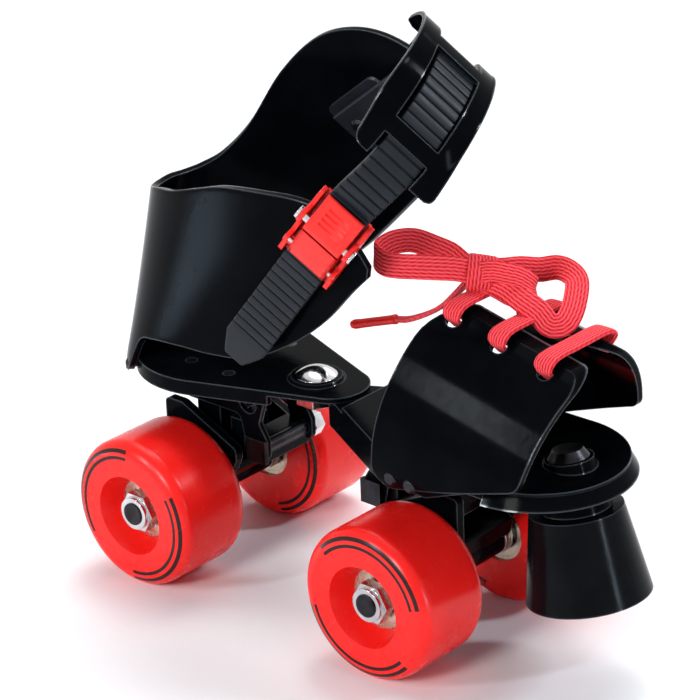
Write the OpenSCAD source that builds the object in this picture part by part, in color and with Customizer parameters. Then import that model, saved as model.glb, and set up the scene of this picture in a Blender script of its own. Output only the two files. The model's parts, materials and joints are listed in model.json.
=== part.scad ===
// Adjustable clip-on quad roller skate for the right foot, worn over a shoe.
// X runs towards the toe, Y towards the left and Z up. The wheels stand on Z = 0.

/* [Wheels and axles] */
// Wheel diameter
wheel_d = 54; // [50:1:58]
// Wheel width
wheel_w = 32; // [29:1:36]
// Radius of the wheel's shoulders
wheel_shoulder = 5; // [2:0.5:7]
// Depth of the recess in the wheel's outer face
wheel_recess = 8.5; // [8:0.5:10]
// Mouth radius of that recess
recess_mouth_r = 14.5; // [13:0.5:17]
// Distance between the axles
wheelbase = 108; // [106:1:130]
// Distance between the middles of the left and right wheels
track = 69.2; // [67:0.2:80]
// Axle diameter
axle_d = 8; // [7:0.5:8]
// Bearing outside diameter
bearing_od = 22; // [21:1:24]
// Bearing width
bearing_w = 7; // [6.5:0.5:8]
// Balls in one bearing
ball_n = 7; // [5:1:8]
// Width across flats of the axle nuts
axle_nut_af = 13; // [12:0.5:14]

/* [Plates] */
// Height of the plates' top faces above the floor
deck_z = 74; // [72:1:80]
// Sheet thickness of the plates
sheet_t = 2; // [1.5:0.25:2.5]
// Radius of the heel plate's round end
heel_r = 31; // [29:0.5:34]
// Centre of that round end ahead of the rear axle
heel_ahead = 0.5; // [0:0.5:3]
// Radius of the heel plate's nose
nose_r = 13; // [12:0.5:15]
// Centre of the nose ahead of the rear axle
nose_ahead = 52; // [50:0.5:53]
// Depth of the heel plate's rim
heel_rim = 5.5; // [4:0.5:8]
// Radius of the toe plate's round front
toe_r = 30; // [28:0.5:32]
// Centre of that round front ahead of the front axle
toe_ahead = 34; // [30:0.5:38]
// Half width of the toe plate over the front axle
toe_waist_r = 29.5; // [28:0.5:31]
// Radius of the toe plate's neck
neck_r = 9; // [8.5:0.5:11]
// Centre of the neck behind the front axle
neck_behind = 46; // [44:0.5:47]
// Depth of the toe plate's rim
toe_rim = 12; // [8:0.5:12]
// Half width of the slotted tongue
tongue_half = 8; // [7:0.5:9]
// Travel of the length adjustment
length_travel = 45; // [20:1:50]
// Clamp bolt diameter
clamp_d = 8; // [6:0.5:8]
// Clamp bolt ahead of the rear axle
clamp_ahead = 44.6; // [43:0.2:47]

/* [Trucks] */
// Length of the rubber block that springs the hanger
block_len = 11; // [10:0.5:12]
// Height of the rubber block
block_h = 8.5; // [8:0.25:9.5]
// Half the distance between the bracket's cheeks
cheek_in = 10.5; // [9:0.25:10.5]
// Thickness of the bracket's cheeks
cheek_t = 2; // [1.5:0.25:2]
// Upward slope of the steering axis towards the axle
steer_slope = 15; // [13:0.5:16]
// Diameter of the hanger's pivot studs
stud_d = 6; // [5:0.25:6.5]
// Cross bolt diameter
cross_d = 5; // [4:0.25:6]
// Width across flats of the cross bolt's nut
cross_nut_af = 8; // [7:0.5:9]

/* [Toe stop] */
// Diameter of the toe stop's foot
stop_foot_d = 42; // [36:1:44]
// Diameter of the toe stop's top
stop_top_d = 31.4; // [28:0.2:34]
// Height of the toe stop
stop_h = 30.5; // [28:0.5:30.5]
// Middle of the foot ahead of the front axle
stop_ahead = 54.5; // [52:0.5:57]
// Height of the middle of the foot
stop_z = 29; // [27:0.5:31]
// Forward tilt of the toe stop
stop_tilt = 10; // [6:0.5:12]

/* [Toe flaps] */
// Outer radius of the curved flaps
flap_r = 46; // [44:0.5:50]
// Thickness of the flaps
flap_t = 2.5; // [2:0.25:3]
// Length of the right flap
right_flap_len = 58; // [52:0.5:60]
// Length of the left flap
left_flap_len = 51; // [50:0.5:58]
// Downward slope of the flaps towards the toe
flap_slope = 12.6; // [8:0.2:15]
// Rear edge of the flaps behind the front axle
flap_behind = 4; // [0:0.5:8]
// Height of the flaps' bending axis over the plates, at the rear edge
flap_axis_up = 10; // [8:0.5:12]
// Angle of the flaps' top edge above their bending axis
flap_top_a = 65; // [60:0.5:68]
// Angle of the flaps' lowest corner below their bending axis
flap_low_a = 30; // [26:0.5:32]
// Radius of the lace holes
lace_hole_r = 2.6; // [2:0.1:3.2]

/* [Heel cup] */
// Thickness of the heel cup
cup_t = 2.5; // [2:0.25:3]
// Height of the cup's back over the plates
cup_back_h = 60; // [55:1:66]
// Height of the right wing over the plates
right_wing_h = 84.5; // [80:0.5:88]
// Height of the left wing over the plates
left_wing_h = 117; // [108:1:122]
// Length of the right wing from the cup's back
right_wing_len = 120; // [117:1:124]
// Length of the left wing from the cup's back
left_wing_len = 102; // [98:1:106]

/* [Ankle strap] */
// Width of the ankle strap
strap_w = 15.5; // [14:0.5:17]
// Thickness of the ankle strap
strap_t = 2.5; // [2:0.25:3]
// Distance between the strap's ribs
rib_pitch = 4.2; // [3.5:0.1:5]
// Length of the strap's free tail from the buckle's middle
tail_len = 70; // [60:1:74]
// Radius of the strap's arch over the ankle
arch_r = 34; // [32:0.5:36]
// Width of the ankle pad
pad_w = 34; // [30:0.5:38]
// Thickness of the ankle pad under the strap
pad_t = 3; // [2:0.25:4]
// Width of the buckle's base
buckle_w = 21; // [20.5:0.5:24]
// Length of the buckle's base
buckle_len = 31.5; // [30:0.5:31.5]

/* [Lace] */
// Width of the flat lace
lace_w = 8; // [6:0.5:10]
// Thickness of the flat lace
lace_t = 2; // [1.5:0.25:2.5]

/* [Hidden] */

$fn = 64;
tiny = 0.01;
// Radial room of a shaft in its bore, and of loose parts
fit = 0.03;
loose = 0.3;
side_inset = 0.08;

// Wheels, bearings and axles
wheel_r = wheel_d / 2;
axle_r = axle_d / 2;
bearing_r = bearing_od / 2;
wheel_in = (track - wheel_w) / 2;
wheel_out = (track + wheel_w) / 2;
inner_recess = 1;
bearing_in = wheel_in + inner_recess;
bearing_out = wheel_out - wheel_recess - bearing_w;
ball_pitch_r = (axle_r + bearing_r) / 2;
ball_r = (bearing_r - axle_r) * 0.285;
race_gap = 0.1;
hub_bore_r = bearing_r - 2;
spacer_wall = 1.3;
shield_t = 0.6;
shield_inset = 0.3;
hanger_gap = 1.6;
hanger_half = wheel_in - hanger_gap;
tube_half = hanger_half - 2;
tube_r = 7;
nut_washer_t = 0.8;
nut_h = 4.2;
nut_collar_h = 1.6;
axle_half = wheel_out - 1.4;

// Toe stop, whose foot is the foremost edge
stop_front = stop_ahead + stop_foot_d / 2 * cos(stop_tilt);

// Heel cup at the level of the plates, and its lean
cup_fit = 0.45;
cup_skirt = 6;
cup_lean = 0.204;
cup_d0 = heel_r + cup_fit + cup_t;
cup_behind = cup_d0 - heel_ahead + cup_lean * cup_skirt;

// The origin is midway between the cup's back and the toe stop's front
rear_x = cup_behind - (cup_behind + wheelbase + stop_front) / 2;
front_x = rear_x + wheelbase;

// Truck bracket and rubber block, with u inwards from the axle
web_t = 2.5;
web_top = deck_z - 14;
web_bottom = web_top - web_t;
block_rear = 18.5;
block_front = block_rear + block_len;
block_z = web_bottom - 17;
cheek_front = 33;
cheek_rear = -6;
lug_half = 8;
lug_front = 5;
flange_out = 19;
flange_front = 23.5;
rivet_r = 2;
rivet_y = (cheek_in + cheek_t + flange_out) / 2;
rivet_u = [0, 18];
stud_r = stud_d / 2;
steer_u = 22;
steer_z = block_z + 3.3;
post_rear = 8;
post_front = 14.5;
cross_r = cross_d / 2;
cross_u = block_front - 2;
cross_z = block_z + 5.8;

// Clamp of the two plates
clamp_r = clamp_d / 2;
tongue_top = deck_z - sheet_t;
tongue_bottom = tongue_top - sheet_t;
clamp_washer_t = 1.2;
clamp_nut_h = 3.8;
slot_half = clamp_r + 0.2;
boss_h = 1.2;
clamp_x = rear_x + clamp_ahead;
tongue_end = clamp_x - length_travel - slot_half - 8;
neck_x = front_x - neck_behind;
step_x = front_x - neck_behind + 6;

// Flaps
flap_in_r = flap_r - flap_t;
flap_y = flap_in_r * cos(flap_low_a) - toe_waist_r - loose;
flap_axis_z = deck_z + flap_axis_up;
flap_top_z = flap_r * sin(flap_top_a);
flap_low_z = -flap_r * sin(flap_low_a);
flap_toe_low_z = 9;
lace_hole_u = [8, 27, 46];
lace_hole_a = flap_top_a - 6;
flap_rivet_u = [1, 9.5];
flap_rivet_z = deck_z - 5.2;

// Heel cup: share of the wing's length from the back, with the share of the wing's extra height
// over the cup's back at the top edge, and the height of the bottom edge over the plates
right_top = [[0, 0], [0.1, 0], [0.2, 0.05], [0.3, 0.17], [0.4, 0.31], [0.5, 0.44], [0.6, 0.65],
    [0.7, 0.87], [0.8, 0.98], [0.88, 1], [0.94, 0.85], [0.98, 0.46], [1, 0.2]];
left_top = [[0, 0], [0.1, 0], [0.2, 0.03], [0.3, 0.11], [0.4, 0.31], [0.5, 0.67], [0.6, 0.91],
    [0.7, 1], [0.8, 0.98], [0.9, 0.86], [0.96, 0.7], [1, 0.45]];
right_low = [[0, -6], [0.3, -6], [0.36, -3], [0.42, 10], [0.5, 14], [0.6, 16], [0.7, 17],
    [0.8, 20.5], [0.88, 30], [0.94, 42], [0.98, 55], [1, 61]];
left_low = [[0, -6], [0.3, -6], [0.36, -3], [0.42, 10], [0.5, 14], [0.6, 16], [0.7, 19],
    [0.8, 26], [0.9, 44], [0.96, 61], [1, 78]];
cup_ref_h = 76;
cup_d_grow = 46;
cup_w_grow_right = 6.2;
cup_w_grow_left = 1.2;
cup_toe_in = 0.0017;
cup_toe_from = 60;
cup_steps = 28;
cup_rows = 8;

// Strap frame: a point on the strap under the buckle, then its turn, lean and slope
strap_x = rear_x + 91;
strap_y = -39.6;
strap_z = deck_z + 78.5;
strap_turn = 12;
strap_tilt = 7;
strap_slope = 52;
arch_from = 13.5;
arch_yaw = -11;
arch_twist = 12;
arch_end_a = 170.5;
strap_drop = 50;
rib_h = 0.8;
rib_len = 2.2;
rib_n = 16;
pad_a0 = 30;
pad_a1 = 158;
pad_frame_a0 = 46;
pad_frame_a1 = 150;
bridge_a = 9;
pad_top = 1.4;
pad_rail_w = 3.4;
pad_room = 0.3;

// Buckle
wall_t = 2.2;
lever_room = 0.4;
lever_w = buckle_w - 2 * wall_t - 2 * lever_room;
buckle_floor_t = 1.4;
buckle_floor_z = -strap_t / 2 - 0.2;
buckle_top_z = 8;
buckle_pin_r = 1.4;
buckle_pin_x = 1;
buckle_pin_z = 5;
lever_len = 11;
cover_from = -14;
pawl_x = -11.5;
pawl_z = 3.75;
pawl_pin_r = 0.8;
buckle_back = 20;

// Fillet of one corner c between corners a and b, as points of an arc
function unit(v) = v / norm(v);
function corner_arc(a, c, b, r, n = 6) =
    r == 0 ? [c] :
    let (
        ua = unit(a - c),
        ub = unit(b - c),
        half = acos(max(-1, min(1, ua * ub))) / 2,
        p = c + ua * r / tan(half),
        q = c + ub * r / tan(half),
        m = c + unit(ua + ub) * r / sin(half),
        from = atan2(p[1] - m[1], p[0] - m[0]),
        to = atan2(q[1] - m[1], q[0] - m[0]),
        sweep = to - from > 180 ? to - from - 360 : to - from < -180 ? to - from + 360 : to - from
    )
    [for (i = [0 : n]) m + r * [cos(from + sweep * i / n), sin(from + sweep * i / n)]];
function rounded(pts, radii) =
    let (n = len(pts))
    [for (i = [0 : n - 1])
        each corner_arc(pts[(i + n - 1) % n], pts[i], pts[(i + 1) % n], radii[i])];

// Two circles on the X axis and the straight sides between them, a hair inside their tangents
module pear(x1, r1, x2, r2) {
    s = (r1 - r2) / abs(x2 - x1);
    c = sqrt(1 - s * s);
    d = x2 > x1 ? 1 : -1;
    q1 = r1 - side_inset;
    q2 = r2 - side_inset;
    translate([x1, 0]) circle(r1);
    translate([x2, 0]) circle(r2);
    polygon([
        [x1 + d * q1 * s, -q1 * c], [x2 + d * q2 * s, -q2 * c],
        [x2 + d * q2 * s, q2 * c], [x1 + d * q1 * s, q1 * c]
    ]);
}

module ring(h, r_out, r_in) {
    difference() {
        cylinder(h = h, r = r_out);
        translate([0, 0, -1]) cylinder(h = h + 2, r = r_in);
    }
}

module hex(h, af) {
    cylinder(h = h, r = af / 2 / cos(30), $fn = 6);
}

// A ring along Y from y0 to y1
module y_ring(y0, y1, r_out, r_in) {
    translate([0, y1, 0]) rotate([90, 0, 0]) ring(y1 - y0, r_out, r_in);
}

// Truck frame: u inwards from the axle to the skate's middle, with the real heights
module truck(front) {
    translate([front ? front_x : rear_x, 0, 0]) mirror([front ? 1 : 0, 0, 0]) children();
}

// Both sides of the skate
module both_sides() {
    children();
    mirror([0, 1, 0]) children();
}

// Extrusion along Y of an outline drawn in X and Z
module side_plate(y0, y1) {
    translate([0, y1, 0]) rotate([90, 0, 0]) linear_extrude(y1 - y0) children();
}

// Steering axis: local Z runs along it from the rubber block up to the pivot over the axle
module steer_frame() {
    translate([steer_u, 0, steer_z]) rotate([0, steer_slope - 90, 0]) children();
}
stud_from = -2 / cos(steer_slope);
stud_to = (steer_u + 4) / cos(steer_slope);

// Cross bolt frame: local Z runs along the bolt towards the left
module cross_frame(front) {
    truck(front) translate([cross_u, 0, cross_z]) rotate([-90, 0, 0]) children();
}

// Wheel section: radius, then distance from the wheel's middle towards its outer face
module wheel_section() {
    core = wheel_r - wheel_shoulder;
    half = wheel_w / 2;
    difference() {
        union() {
            translate([hub_bore_r, -half]) square([core - hub_bore_r, wheel_w]);
            translate([hub_bore_r, -half + wheel_shoulder])
                square([wheel_r - hub_bore_r, wheel_w - 2 * wheel_shoulder]);
            for (s = [-1, 1]) translate([core, s * (half - wheel_shoulder)]) circle(wheel_shoulder);
        }
        translate([0, -half - 1]) square([bearing_r, inner_recess + bearing_w + 1]);
        translate([0, half - wheel_recess - bearing_w]) square([bearing_r, bearing_w + wheel_recess + 1]);
        polygon([
            [bearing_r - 1, half - wheel_recess], [bearing_r, half - wheel_recess],
            [recess_mouth_r, half], [recess_mouth_r, half + 1], [bearing_r - 1, half + 1]
        ]);
    }
}

// Wheel frame: local Z runs along the axle to the wheel's outer face
module wheel_at(front, right) {
    translate([front ? front_x : rear_x, (right ? -1 : 1) * track / 2, wheel_r])
        rotate([right ? 90 : -90, 0, 0]) children();
}

module wheel(front, right) {
    color("red") wheel_at(front, right) rotate_extrude() wheel_section();
}

// The two bearings' middles, from the wheel's middle
bearing_mids = [bearing_in + bearing_w / 2 - track / 2, bearing_out + bearing_w / 2 - track / 2];

module bearings(front, right) {
    color("gainsboro") wheel_at(front, right) for (z = bearing_mids) translate([0, 0, z]) {
        rotate_extrude() {
            translate([ball_pitch_r + ball_r + race_gap, -bearing_w / 2])
                square([bearing_r - fit - ball_pitch_r - ball_r - race_gap, bearing_w]);
            for (s = [-1, 1])
                translate([ball_pitch_r - ball_r + race_gap,
                    s * (bearing_w / 2 - shield_inset) - (s + 1) / 2 * shield_t])
                    square([2 * ball_r + 2 * race_gap, shield_t]);
        }
        for (i = [0 : ball_n - 1]) rotate([0, 0, i * 360 / ball_n])
            translate([ball_pitch_r, 0, 0]) sphere(ball_r);
    }
}

// Pieces on the axle of one truck
module axle_frame(front) {
    translate([front ? front_x : rear_x, 0, wheel_r]) children();
}

module axle(front) {
    color([0.15, 0.15, 0.16]) axle_frame(front)
        translate([0, axle_half, 0]) rotate([90, 0, 0]) cylinder(h = 2 * axle_half, r = axle_r);
}

module axle_nuts(front) {
    from = bearing_out + bearing_w + nut_washer_t;
    color("silver") axle_frame(front) both_sides() translate([0, -from, 0]) rotate([90, 0, 0])
        difference() {
            union() {
                hex(nut_h, axle_nut_af);
                cylinder(h = nut_h + nut_collar_h, r = axle_nut_af / 2 - 0.6);
            }
            translate([0, 0, -1]) cylinder(h = nut_h + nut_collar_h + 2, r = axle_r + fit);
        }
}

module axle_washers(front) {
    color("silver") axle_frame(front) both_sides() {
        y_ring(tube_half, bearing_in - 1, tube_r + 0.4, axle_r + fit);
        y_ring(bearing_in - 1, bearing_in, axle_r + spacer_wall, axle_r + fit);
        y_ring(bearing_out + bearing_w, bearing_out + bearing_w + nut_washer_t, axle_r + spacer_wall,
            axle_r + fit);
    }
}

module spacers(front) {
    color("gray") axle_frame(front) both_sides()
        y_ring(bearing_in + bearing_w, bearing_out, axle_r + spacer_wall, axle_r + fit);
}

module inner_rings(front) {
    color("silver") axle_frame(front) both_sides() for (y = [bearing_in, bearing_out])
        y_ring(y, y + bearing_w, ball_pitch_r - ball_r - race_gap, axle_r + fit);
}

// Hanger: tube round the axle, box over it, sloping end plates, and a post with two pivot studs
module hanger(front) {
    bar_top = block_z - 2.5;
    box = rounded([
        [-9, wheel_r + 3], [12, wheel_r + 3], [17, wheel_r + 8], [17, bar_top], [8, bar_top + 4],
        [-6, bar_top + 4], [-11, wheel_r + 11]
    ], [2, 3, 1, 1, 2, 2, 2]);
    ear = rounded([
        [-13, wheel_r + 12], [-4, wheel_r + 8.5], [17.5, wheel_r + 8.5], [20.5, block_z + 1], [20.5,
            block_z + 5],
        [-5, web_bottom - 0.5], [-13, web_bottom - 0.5]
    ], [2, 2, 2, 2, 2, 2, 2]);
    ear_in = cheek_in + cheek_t + 1.1;
    post_half = 6;
    post_h = 14;
    color([0.13, 0.13, 0.14]) truck(front) difference() {
        union() {
            side_plate(-tube_half, tube_half) polygon(box);
            translate([0, tube_half, wheel_r]) rotate([90, 0, 0]) cylinder(h = 2 * tube_half, r = tube_r);
            both_sides() side_plate(-hanger_half, -ear_in) polygon(ear);
            translate([post_rear, -post_half, bar_top - 1])
                cube([post_front - post_rear, 2 * post_half, post_h]);
            steer_frame() translate([0, 0, stud_from]) cylinder(h = stud_to - stud_from, r = stud_r);
        }
        translate([0, hanger_half + 1, wheel_r]) rotate([90, 0, 0])
            cylinder(h = 2 * hanger_half + 2, r = axle_r + fit);
    }
}

// Bracket under a plate: flanges, cheeks with lugs for the rubber block, web and pivot lug
module bracket(front) {
    cheek = rounded([
        [cheek_rear, web_bottom], [19, web_bottom], [cross_u - 5, block_z + 1.5],
        [cross_u + 4, block_z + 1.5], [cross_u + 4, cross_z + 4], [28, web_bottom - 1.5],
        [cheek_front, tongue_top], [cheek_rear, tongue_top]
    ], [1, 3, 3, 3, 2, 2, 0, 0]);
    hole_u = 23;
    hole_r = 4;
    lug_bottom = block_z + 4;
    color([0.13, 0.13, 0.14]) truck(front) difference() {
        union() {
            both_sides() {
                side_plate(cheek_in, cheek_in + cheek_t) polygon(cheek);
                translate([cheek_rear, cheek_in, tongue_top - sheet_t])
                    cube([flange_front - cheek_rear, flange_out - cheek_in, sheet_t]);
            }
            translate([cheek_rear, -cheek_in - 0.5, web_bottom])
                cube([18 - cheek_rear, 2 * cheek_in + 1, web_t]);
            translate([cheek_rear, -lug_half, lug_bottom])
                cube([lug_front - cheek_rear, 2 * lug_half, web_bottom - lug_bottom + 0.5]);
        }
        both_sides() translate([hole_u, 0, web_top + 3]) rotate([90, 0, 0])
            cylinder(h = flange_out, r = hole_r);
        steer_frame() cylinder(h = stud_to + 1, r = stud_r + 0.05);
        translate([cross_u, 0, cross_z]) rotate([90, 0, 0])
            cylinder(h = 2 * flange_out, r = cross_r + fit, center = true);
        both_sides() for (u = rivet_u) translate([u, rivet_y, tongue_bottom - 1])
            cylinder(h = sheet_t + 2, r = rivet_r);
    }
}

module bracket_rivets(front) {
    head_h = 1.2;
    color("dimgray") truck(front) both_sides() for (u = rivet_u) translate([u, rivet_y, 0]) {
        translate([0, 0, tongue_bottom]) cylinder(h = deck_z - tongue_bottom, r = rivet_r - tiny);
        translate([0, 0, tongue_bottom - head_h]) cylinder(h = head_h, r1 = rivet_r, r2 = rivet_r * 1.7);
    }
}

// Rubber block between the cheeks, which grips the hanger's front stud
module rubber_block(front) {
    color([0.2, 0.2, 0.2]) truck(front) difference() {
        side_plate(-cheek_in, cheek_in) polygon(rounded([
            [block_rear, block_z], [block_front, block_z], [block_front, block_z + block_h],
            [block_rear, block_z + block_h]
        ], [1, 1, 1, 1]));
        steer_frame() translate([0, 0, stud_from - 0.3]) cylinder(h = stud_to, r = stud_r + 0.05);
        translate([cross_u, 0, cross_z]) rotate([90, 0, 0])
            cylinder(h = 4 * cheek_in, r = cross_r + fit, center = true);
    }
}

cross_half = cheek_in + cheek_t;
cross_head_h = 1.8;
cross_nut_h = 4.5;
module cross_bolt(front) {
    head_r = cross_nut_af / 2 + 0.4;
    color([0.2, 0.2, 0.2]) cross_frame(front) {
        translate([-head_r, -head_r, -cross_half - cross_head_h])
            cube([2 * head_r, 2 * head_r, cross_head_h]);
        translate([0, 0, -cross_half - tiny]) cylinder(h = 2 * cross_half + cross_nut_h + 1, r = cross_r);
    }
}

module cross_nut(front) {
    color("silver") cross_frame(front) translate([0, 0, cross_half]) difference() {
        hex(cross_nut_h, cross_nut_af);
        translate([0, 0, -1]) cylinder(h = cross_nut_h + 2, r = cross_r + fit);
    }
}

// Heel plate with its rim open at the nose for the tongue
module heel_plate() {
    hx = rear_x + heel_ahead;
    nx = rear_x + nose_ahead;
    boss_r = 10;
    color([0.1, 0.1, 0.11]) difference() {
        union() {
            difference() {
                translate([0, 0, deck_z - heel_rim]) linear_extrude(heel_rim) pear(hx, heel_r, nx, nose_r);
                translate([0, 0, deck_z - heel_rim - 1]) linear_extrude(heel_rim + 1 - sheet_t)
                    pear(hx, heel_r - sheet_t, nx, nose_r - sheet_t);
                translate([clamp_x - 6, -heel_r, deck_z - heel_rim - 1])
                    cube([heel_r, 2 * heel_r, heel_rim + 1 - sheet_t]);
            }
            translate([clamp_x, 0, deck_z - tiny])
                cylinder(h = boss_h + tiny, r1 = boss_r, r2 = boss_r - 1);
        }
        translate([clamp_x, 0, deck_z - heel_rim]) cylinder(h = heel_rim + boss_h + 1, r = clamp_r + fit);
        truck(false) both_sides() for (u = rivet_u) translate([u, rivet_y, deck_z - heel_rim])
            cylinder(h = heel_rim + 1, r = rivet_r);
        cup_rivet_places() cylinder(h = 20, r = cup_rivet_r, center = true);
    }
}

module clamp_bolt() {
    head_r = 7.5;
    head_h = 3;
    dome_r = (head_r * head_r + head_h * head_h) / 2 / head_h;
    top = deck_z + boss_h;
    color("silver") translate([clamp_x, 0, 0]) {
        intersection() {
            translate([0, 0, top + head_h - dome_r]) sphere(dome_r);
            translate([0, 0, top]) cylinder(h = head_h + 1, r = head_r + 1);
        }
        translate([0, 0, tongue_bottom - clamp_washer_t - clamp_nut_h])
            cylinder(h = top - tongue_bottom + clamp_washer_t + clamp_nut_h + tiny, r = clamp_r);
    }
}

module clamp_washer() {
    color("silver") translate([clamp_x, 0, tongue_bottom - clamp_washer_t])
        ring(clamp_washer_t, clamp_r + 4, clamp_r + fit);
}

module clamp_nut() {
    color("silver") translate([clamp_x, 0, tongue_bottom - clamp_washer_t - clamp_nut_h]) difference() {
        hex(clamp_nut_h, 13);
        translate([0, 0, -1]) cylinder(h = clamp_nut_h + 2, r = clamp_r + fit);
    }
}

// Toe stop frame: local Z runs up the stop's axis from the middle of its foot
module stop_frame() {
    translate([front_x + stop_ahead, 0, stop_z]) rotate([0, -stop_tilt, 0]) children();
}
stop_boss_r = 12;
rim_cut_from = 8;
rim_cut_to = 28;
lip_h = 5;
lip_out = 2.6;
lip_a = 87;
stop_boss_top = (deck_z + 2.2 - stop_z) / cos(stop_tilt);
stop_boss_top_r = stop_boss_r - (stop_boss_top - stop_h) * tan(stop_tilt + 2);
stop_bolt_r = 4;
stop_nut_z = 5;
stop_nut_h = 6;
stop_well_h = 12;

// Outline of the toe plate: round front, straight sides and narrowing neck
module toe_outline(less) {
    pear(front_x + toe_ahead, toe_r - less, front_x - 2, toe_waist_r - less);
    pear(front_x - 2, toe_waist_r - less, neck_x, neck_r - less);
}

module toe_plate() {
    slot_from = clamp_x - length_travel;
    color([0.1, 0.1, 0.11]) difference() {
        union() {
            difference() {
                translate([0, 0, deck_z - toe_rim]) linear_extrude(toe_rim) toe_outline(0);
                translate([0, 0, deck_z - toe_rim - 1]) linear_extrude(toe_rim + 1 - sheet_t)
                    toe_outline(sheet_t);
                translate([neck_x - 2 * neck_r, -toe_waist_r, tongue_top])
                    cube([step_x - neck_x + 2 * neck_r, 2 * toe_waist_r, toe_rim]);
                side_plate(-2 * toe_r, 2 * toe_r) polygon([
                    [front_x + rim_cut_from, deck_z - toe_rim - 1], [front_x + 4 * toe_r,
                        deck_z - toe_rim - 1],
                    [front_x + 4 * toe_r, deck_z - lip_h], [front_x + rim_cut_to, deck_z - lip_h]
                ]);
            }
            translate([front_x + toe_ahead, 0, deck_z]) rotate([0, 0, -lip_a])
                rotate_extrude(angle = 2 * lip_a)
                polygon([
                    [toe_r - sheet_t, -0.4], [toe_r - 0.3, -0.4], [toe_r + lip_out, -lip_h - 0.6],
                    [toe_r + lip_out - sheet_t, -lip_h - 0.6]
                ]);
            translate([0, 0, tongue_bottom]) linear_extrude(sheet_t) intersection() {
                toe_outline(0);
                translate([neck_x - neck_r, -toe_waist_r])
                    square([step_x + 3 - neck_x + neck_r, 2 * toe_waist_r]);
            }
            translate([tongue_end, -tongue_half, tongue_bottom])
                cube([step_x + 3 - tongue_end, 2 * tongue_half, sheet_t]);
            intersection() {
                stop_frame() translate([0, 0, stop_h + loose])
                    cylinder(h = stop_boss_top - stop_h - loose, r1 = stop_boss_r, r2 = stop_boss_top_r);
                translate([front_x, -toe_r, stop_z]) cube([2 * toe_r + toe_ahead, 2 * toe_r, deck_z]);
            }
        }
        translate([slot_from, -slot_half, tongue_bottom - 1])
            cube([length_travel, 2 * slot_half, sheet_t + 2]);
        for (x = [slot_from, clamp_x]) translate([x, 0, tongue_bottom - 1])
            cylinder(h = sheet_t + 2, r = slot_half);
        stop_frame() translate([0, 0, stop_h - 1])
            cylinder(h = stop_boss_top - stop_h + 2, r = stop_bolt_r + fit);
        truck(true) both_sides() for (u = rivet_u) translate([u, rivet_y, tongue_bottom])
            cylinder(h = 2 * sheet_t + 1, r = rivet_r);
        flap_rivet_places() cylinder(h = 30, r = flap_rivet_r, center = true);
    }
}

module toe_stop() {
    color([0.12, 0.12, 0.12]) stop_frame() difference() {
        cylinder(h = stop_h, r1 = stop_foot_d / 2, r2 = stop_top_d / 2);
        translate([0, 0, -1]) cylinder(h = stop_well_h + 1, r = 9);
        cylinder(h = stop_h + 1, r = stop_bolt_r + fit);
    }
}

module toe_stop_bolt() {
    head_r = 7;
    head_h = 3;
    color([0.2, 0.2, 0.2]) stop_frame() {
        translate([0, 0, stop_boss_top]) cylinder(h = head_h, r1 = head_r, r2 = head_r - 2);
        translate([0, 0, stop_nut_z]) cylinder(h = stop_boss_top - stop_nut_z + tiny, r = stop_bolt_r);
    }
}

module toe_stop_nut() {
    color("silver") stop_frame() translate([0, 0, stop_well_h - stop_nut_h]) difference() {
        hex(stop_nut_h, 13);
        translate([0, 0, -1]) cylinder(h = stop_nut_h + 2, r = stop_bolt_r + fit);
    }
}

// Flap frame: local X runs along the bending axis towards the toe, for the right flap
module flap_frame() {
    translate([front_x - flap_behind, flap_y, flap_axis_z]) rotate([0, flap_slope, 0]) children();
}

// Local Z points outwards from the flap's bending axis, a degrees above the horizontal
module flap_spoke(u, a) {
    flap_frame() translate([u, 0, 0]) rotate([90 - a, 0, 0]) children();
}

flap_rivet_r = 1.8;
module flap_rivet_places() {
    both_sides() for (u = flap_rivet_u) translate([front_x + u, -toe_waist_r, flap_rivet_z])
        rotate([90, 0, 0]) children();
}

module flap(length) {
    outline = rounded([
        [0, flap_low_z], [length, flap_toe_low_z], [length, flap_top_z], [0, flap_top_z]
    ], [6, 5, 5, 9]);
    color([0.06, 0.06, 0.07]) difference() {
        flap_frame() intersection() {
            rotate([90, 0, 90]) ring(length, flap_r, flap_in_r);
            side_plate(-flap_r - 1, 0) polygon(outline);
        }
        for (u = lace_hole_u) flap_spoke(u, lace_hole_a)
            translate([0, 0, flap_in_r - 5]) cylinder(h = 12, r = lace_hole_r);
        flap_rivet_places() cylinder(h = 30, r = flap_rivet_r, center = true);
    }
}

module toe_flap_right() {
    flap(right_flap_len);
}

module toe_flap_left() {
    mirror([0, 1, 0]) flap(left_flap_len);
}

// Distance from the toe plate's rim to the flap's outer face at a rivet
function flap_rivet_reach(u) =
    let (z = (u + flap_behind) * sin(flap_slope) + (flap_rivet_z - flap_axis_z) * cos(flap_slope))
    sqrt(flap_r * flap_r - z * z) - flap_y - toe_waist_r;

module flap_rivets() {
    head_h = 1;
    head_r = flap_rivet_r * 1.5;
    inside = sheet_t + head_h;
    color("dimgray") both_sides() for (u = flap_rivet_u)
        translate([front_x + u, -toe_waist_r, flap_rivet_z]) rotate([90, 0, 0]) {
            translate([0, 0, -inside]) cylinder(h = inside + flap_rivet_reach(u), r = flap_rivet_r - tiny);
            translate([0, 0, -inside]) cylinder(h = head_h, r = head_r);
            translate([0, 0, flap_rivet_reach(u) - 0.2])
                cylinder(h = head_h, r1 = head_r, r2 = flap_rivet_r);
        }
}

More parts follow.
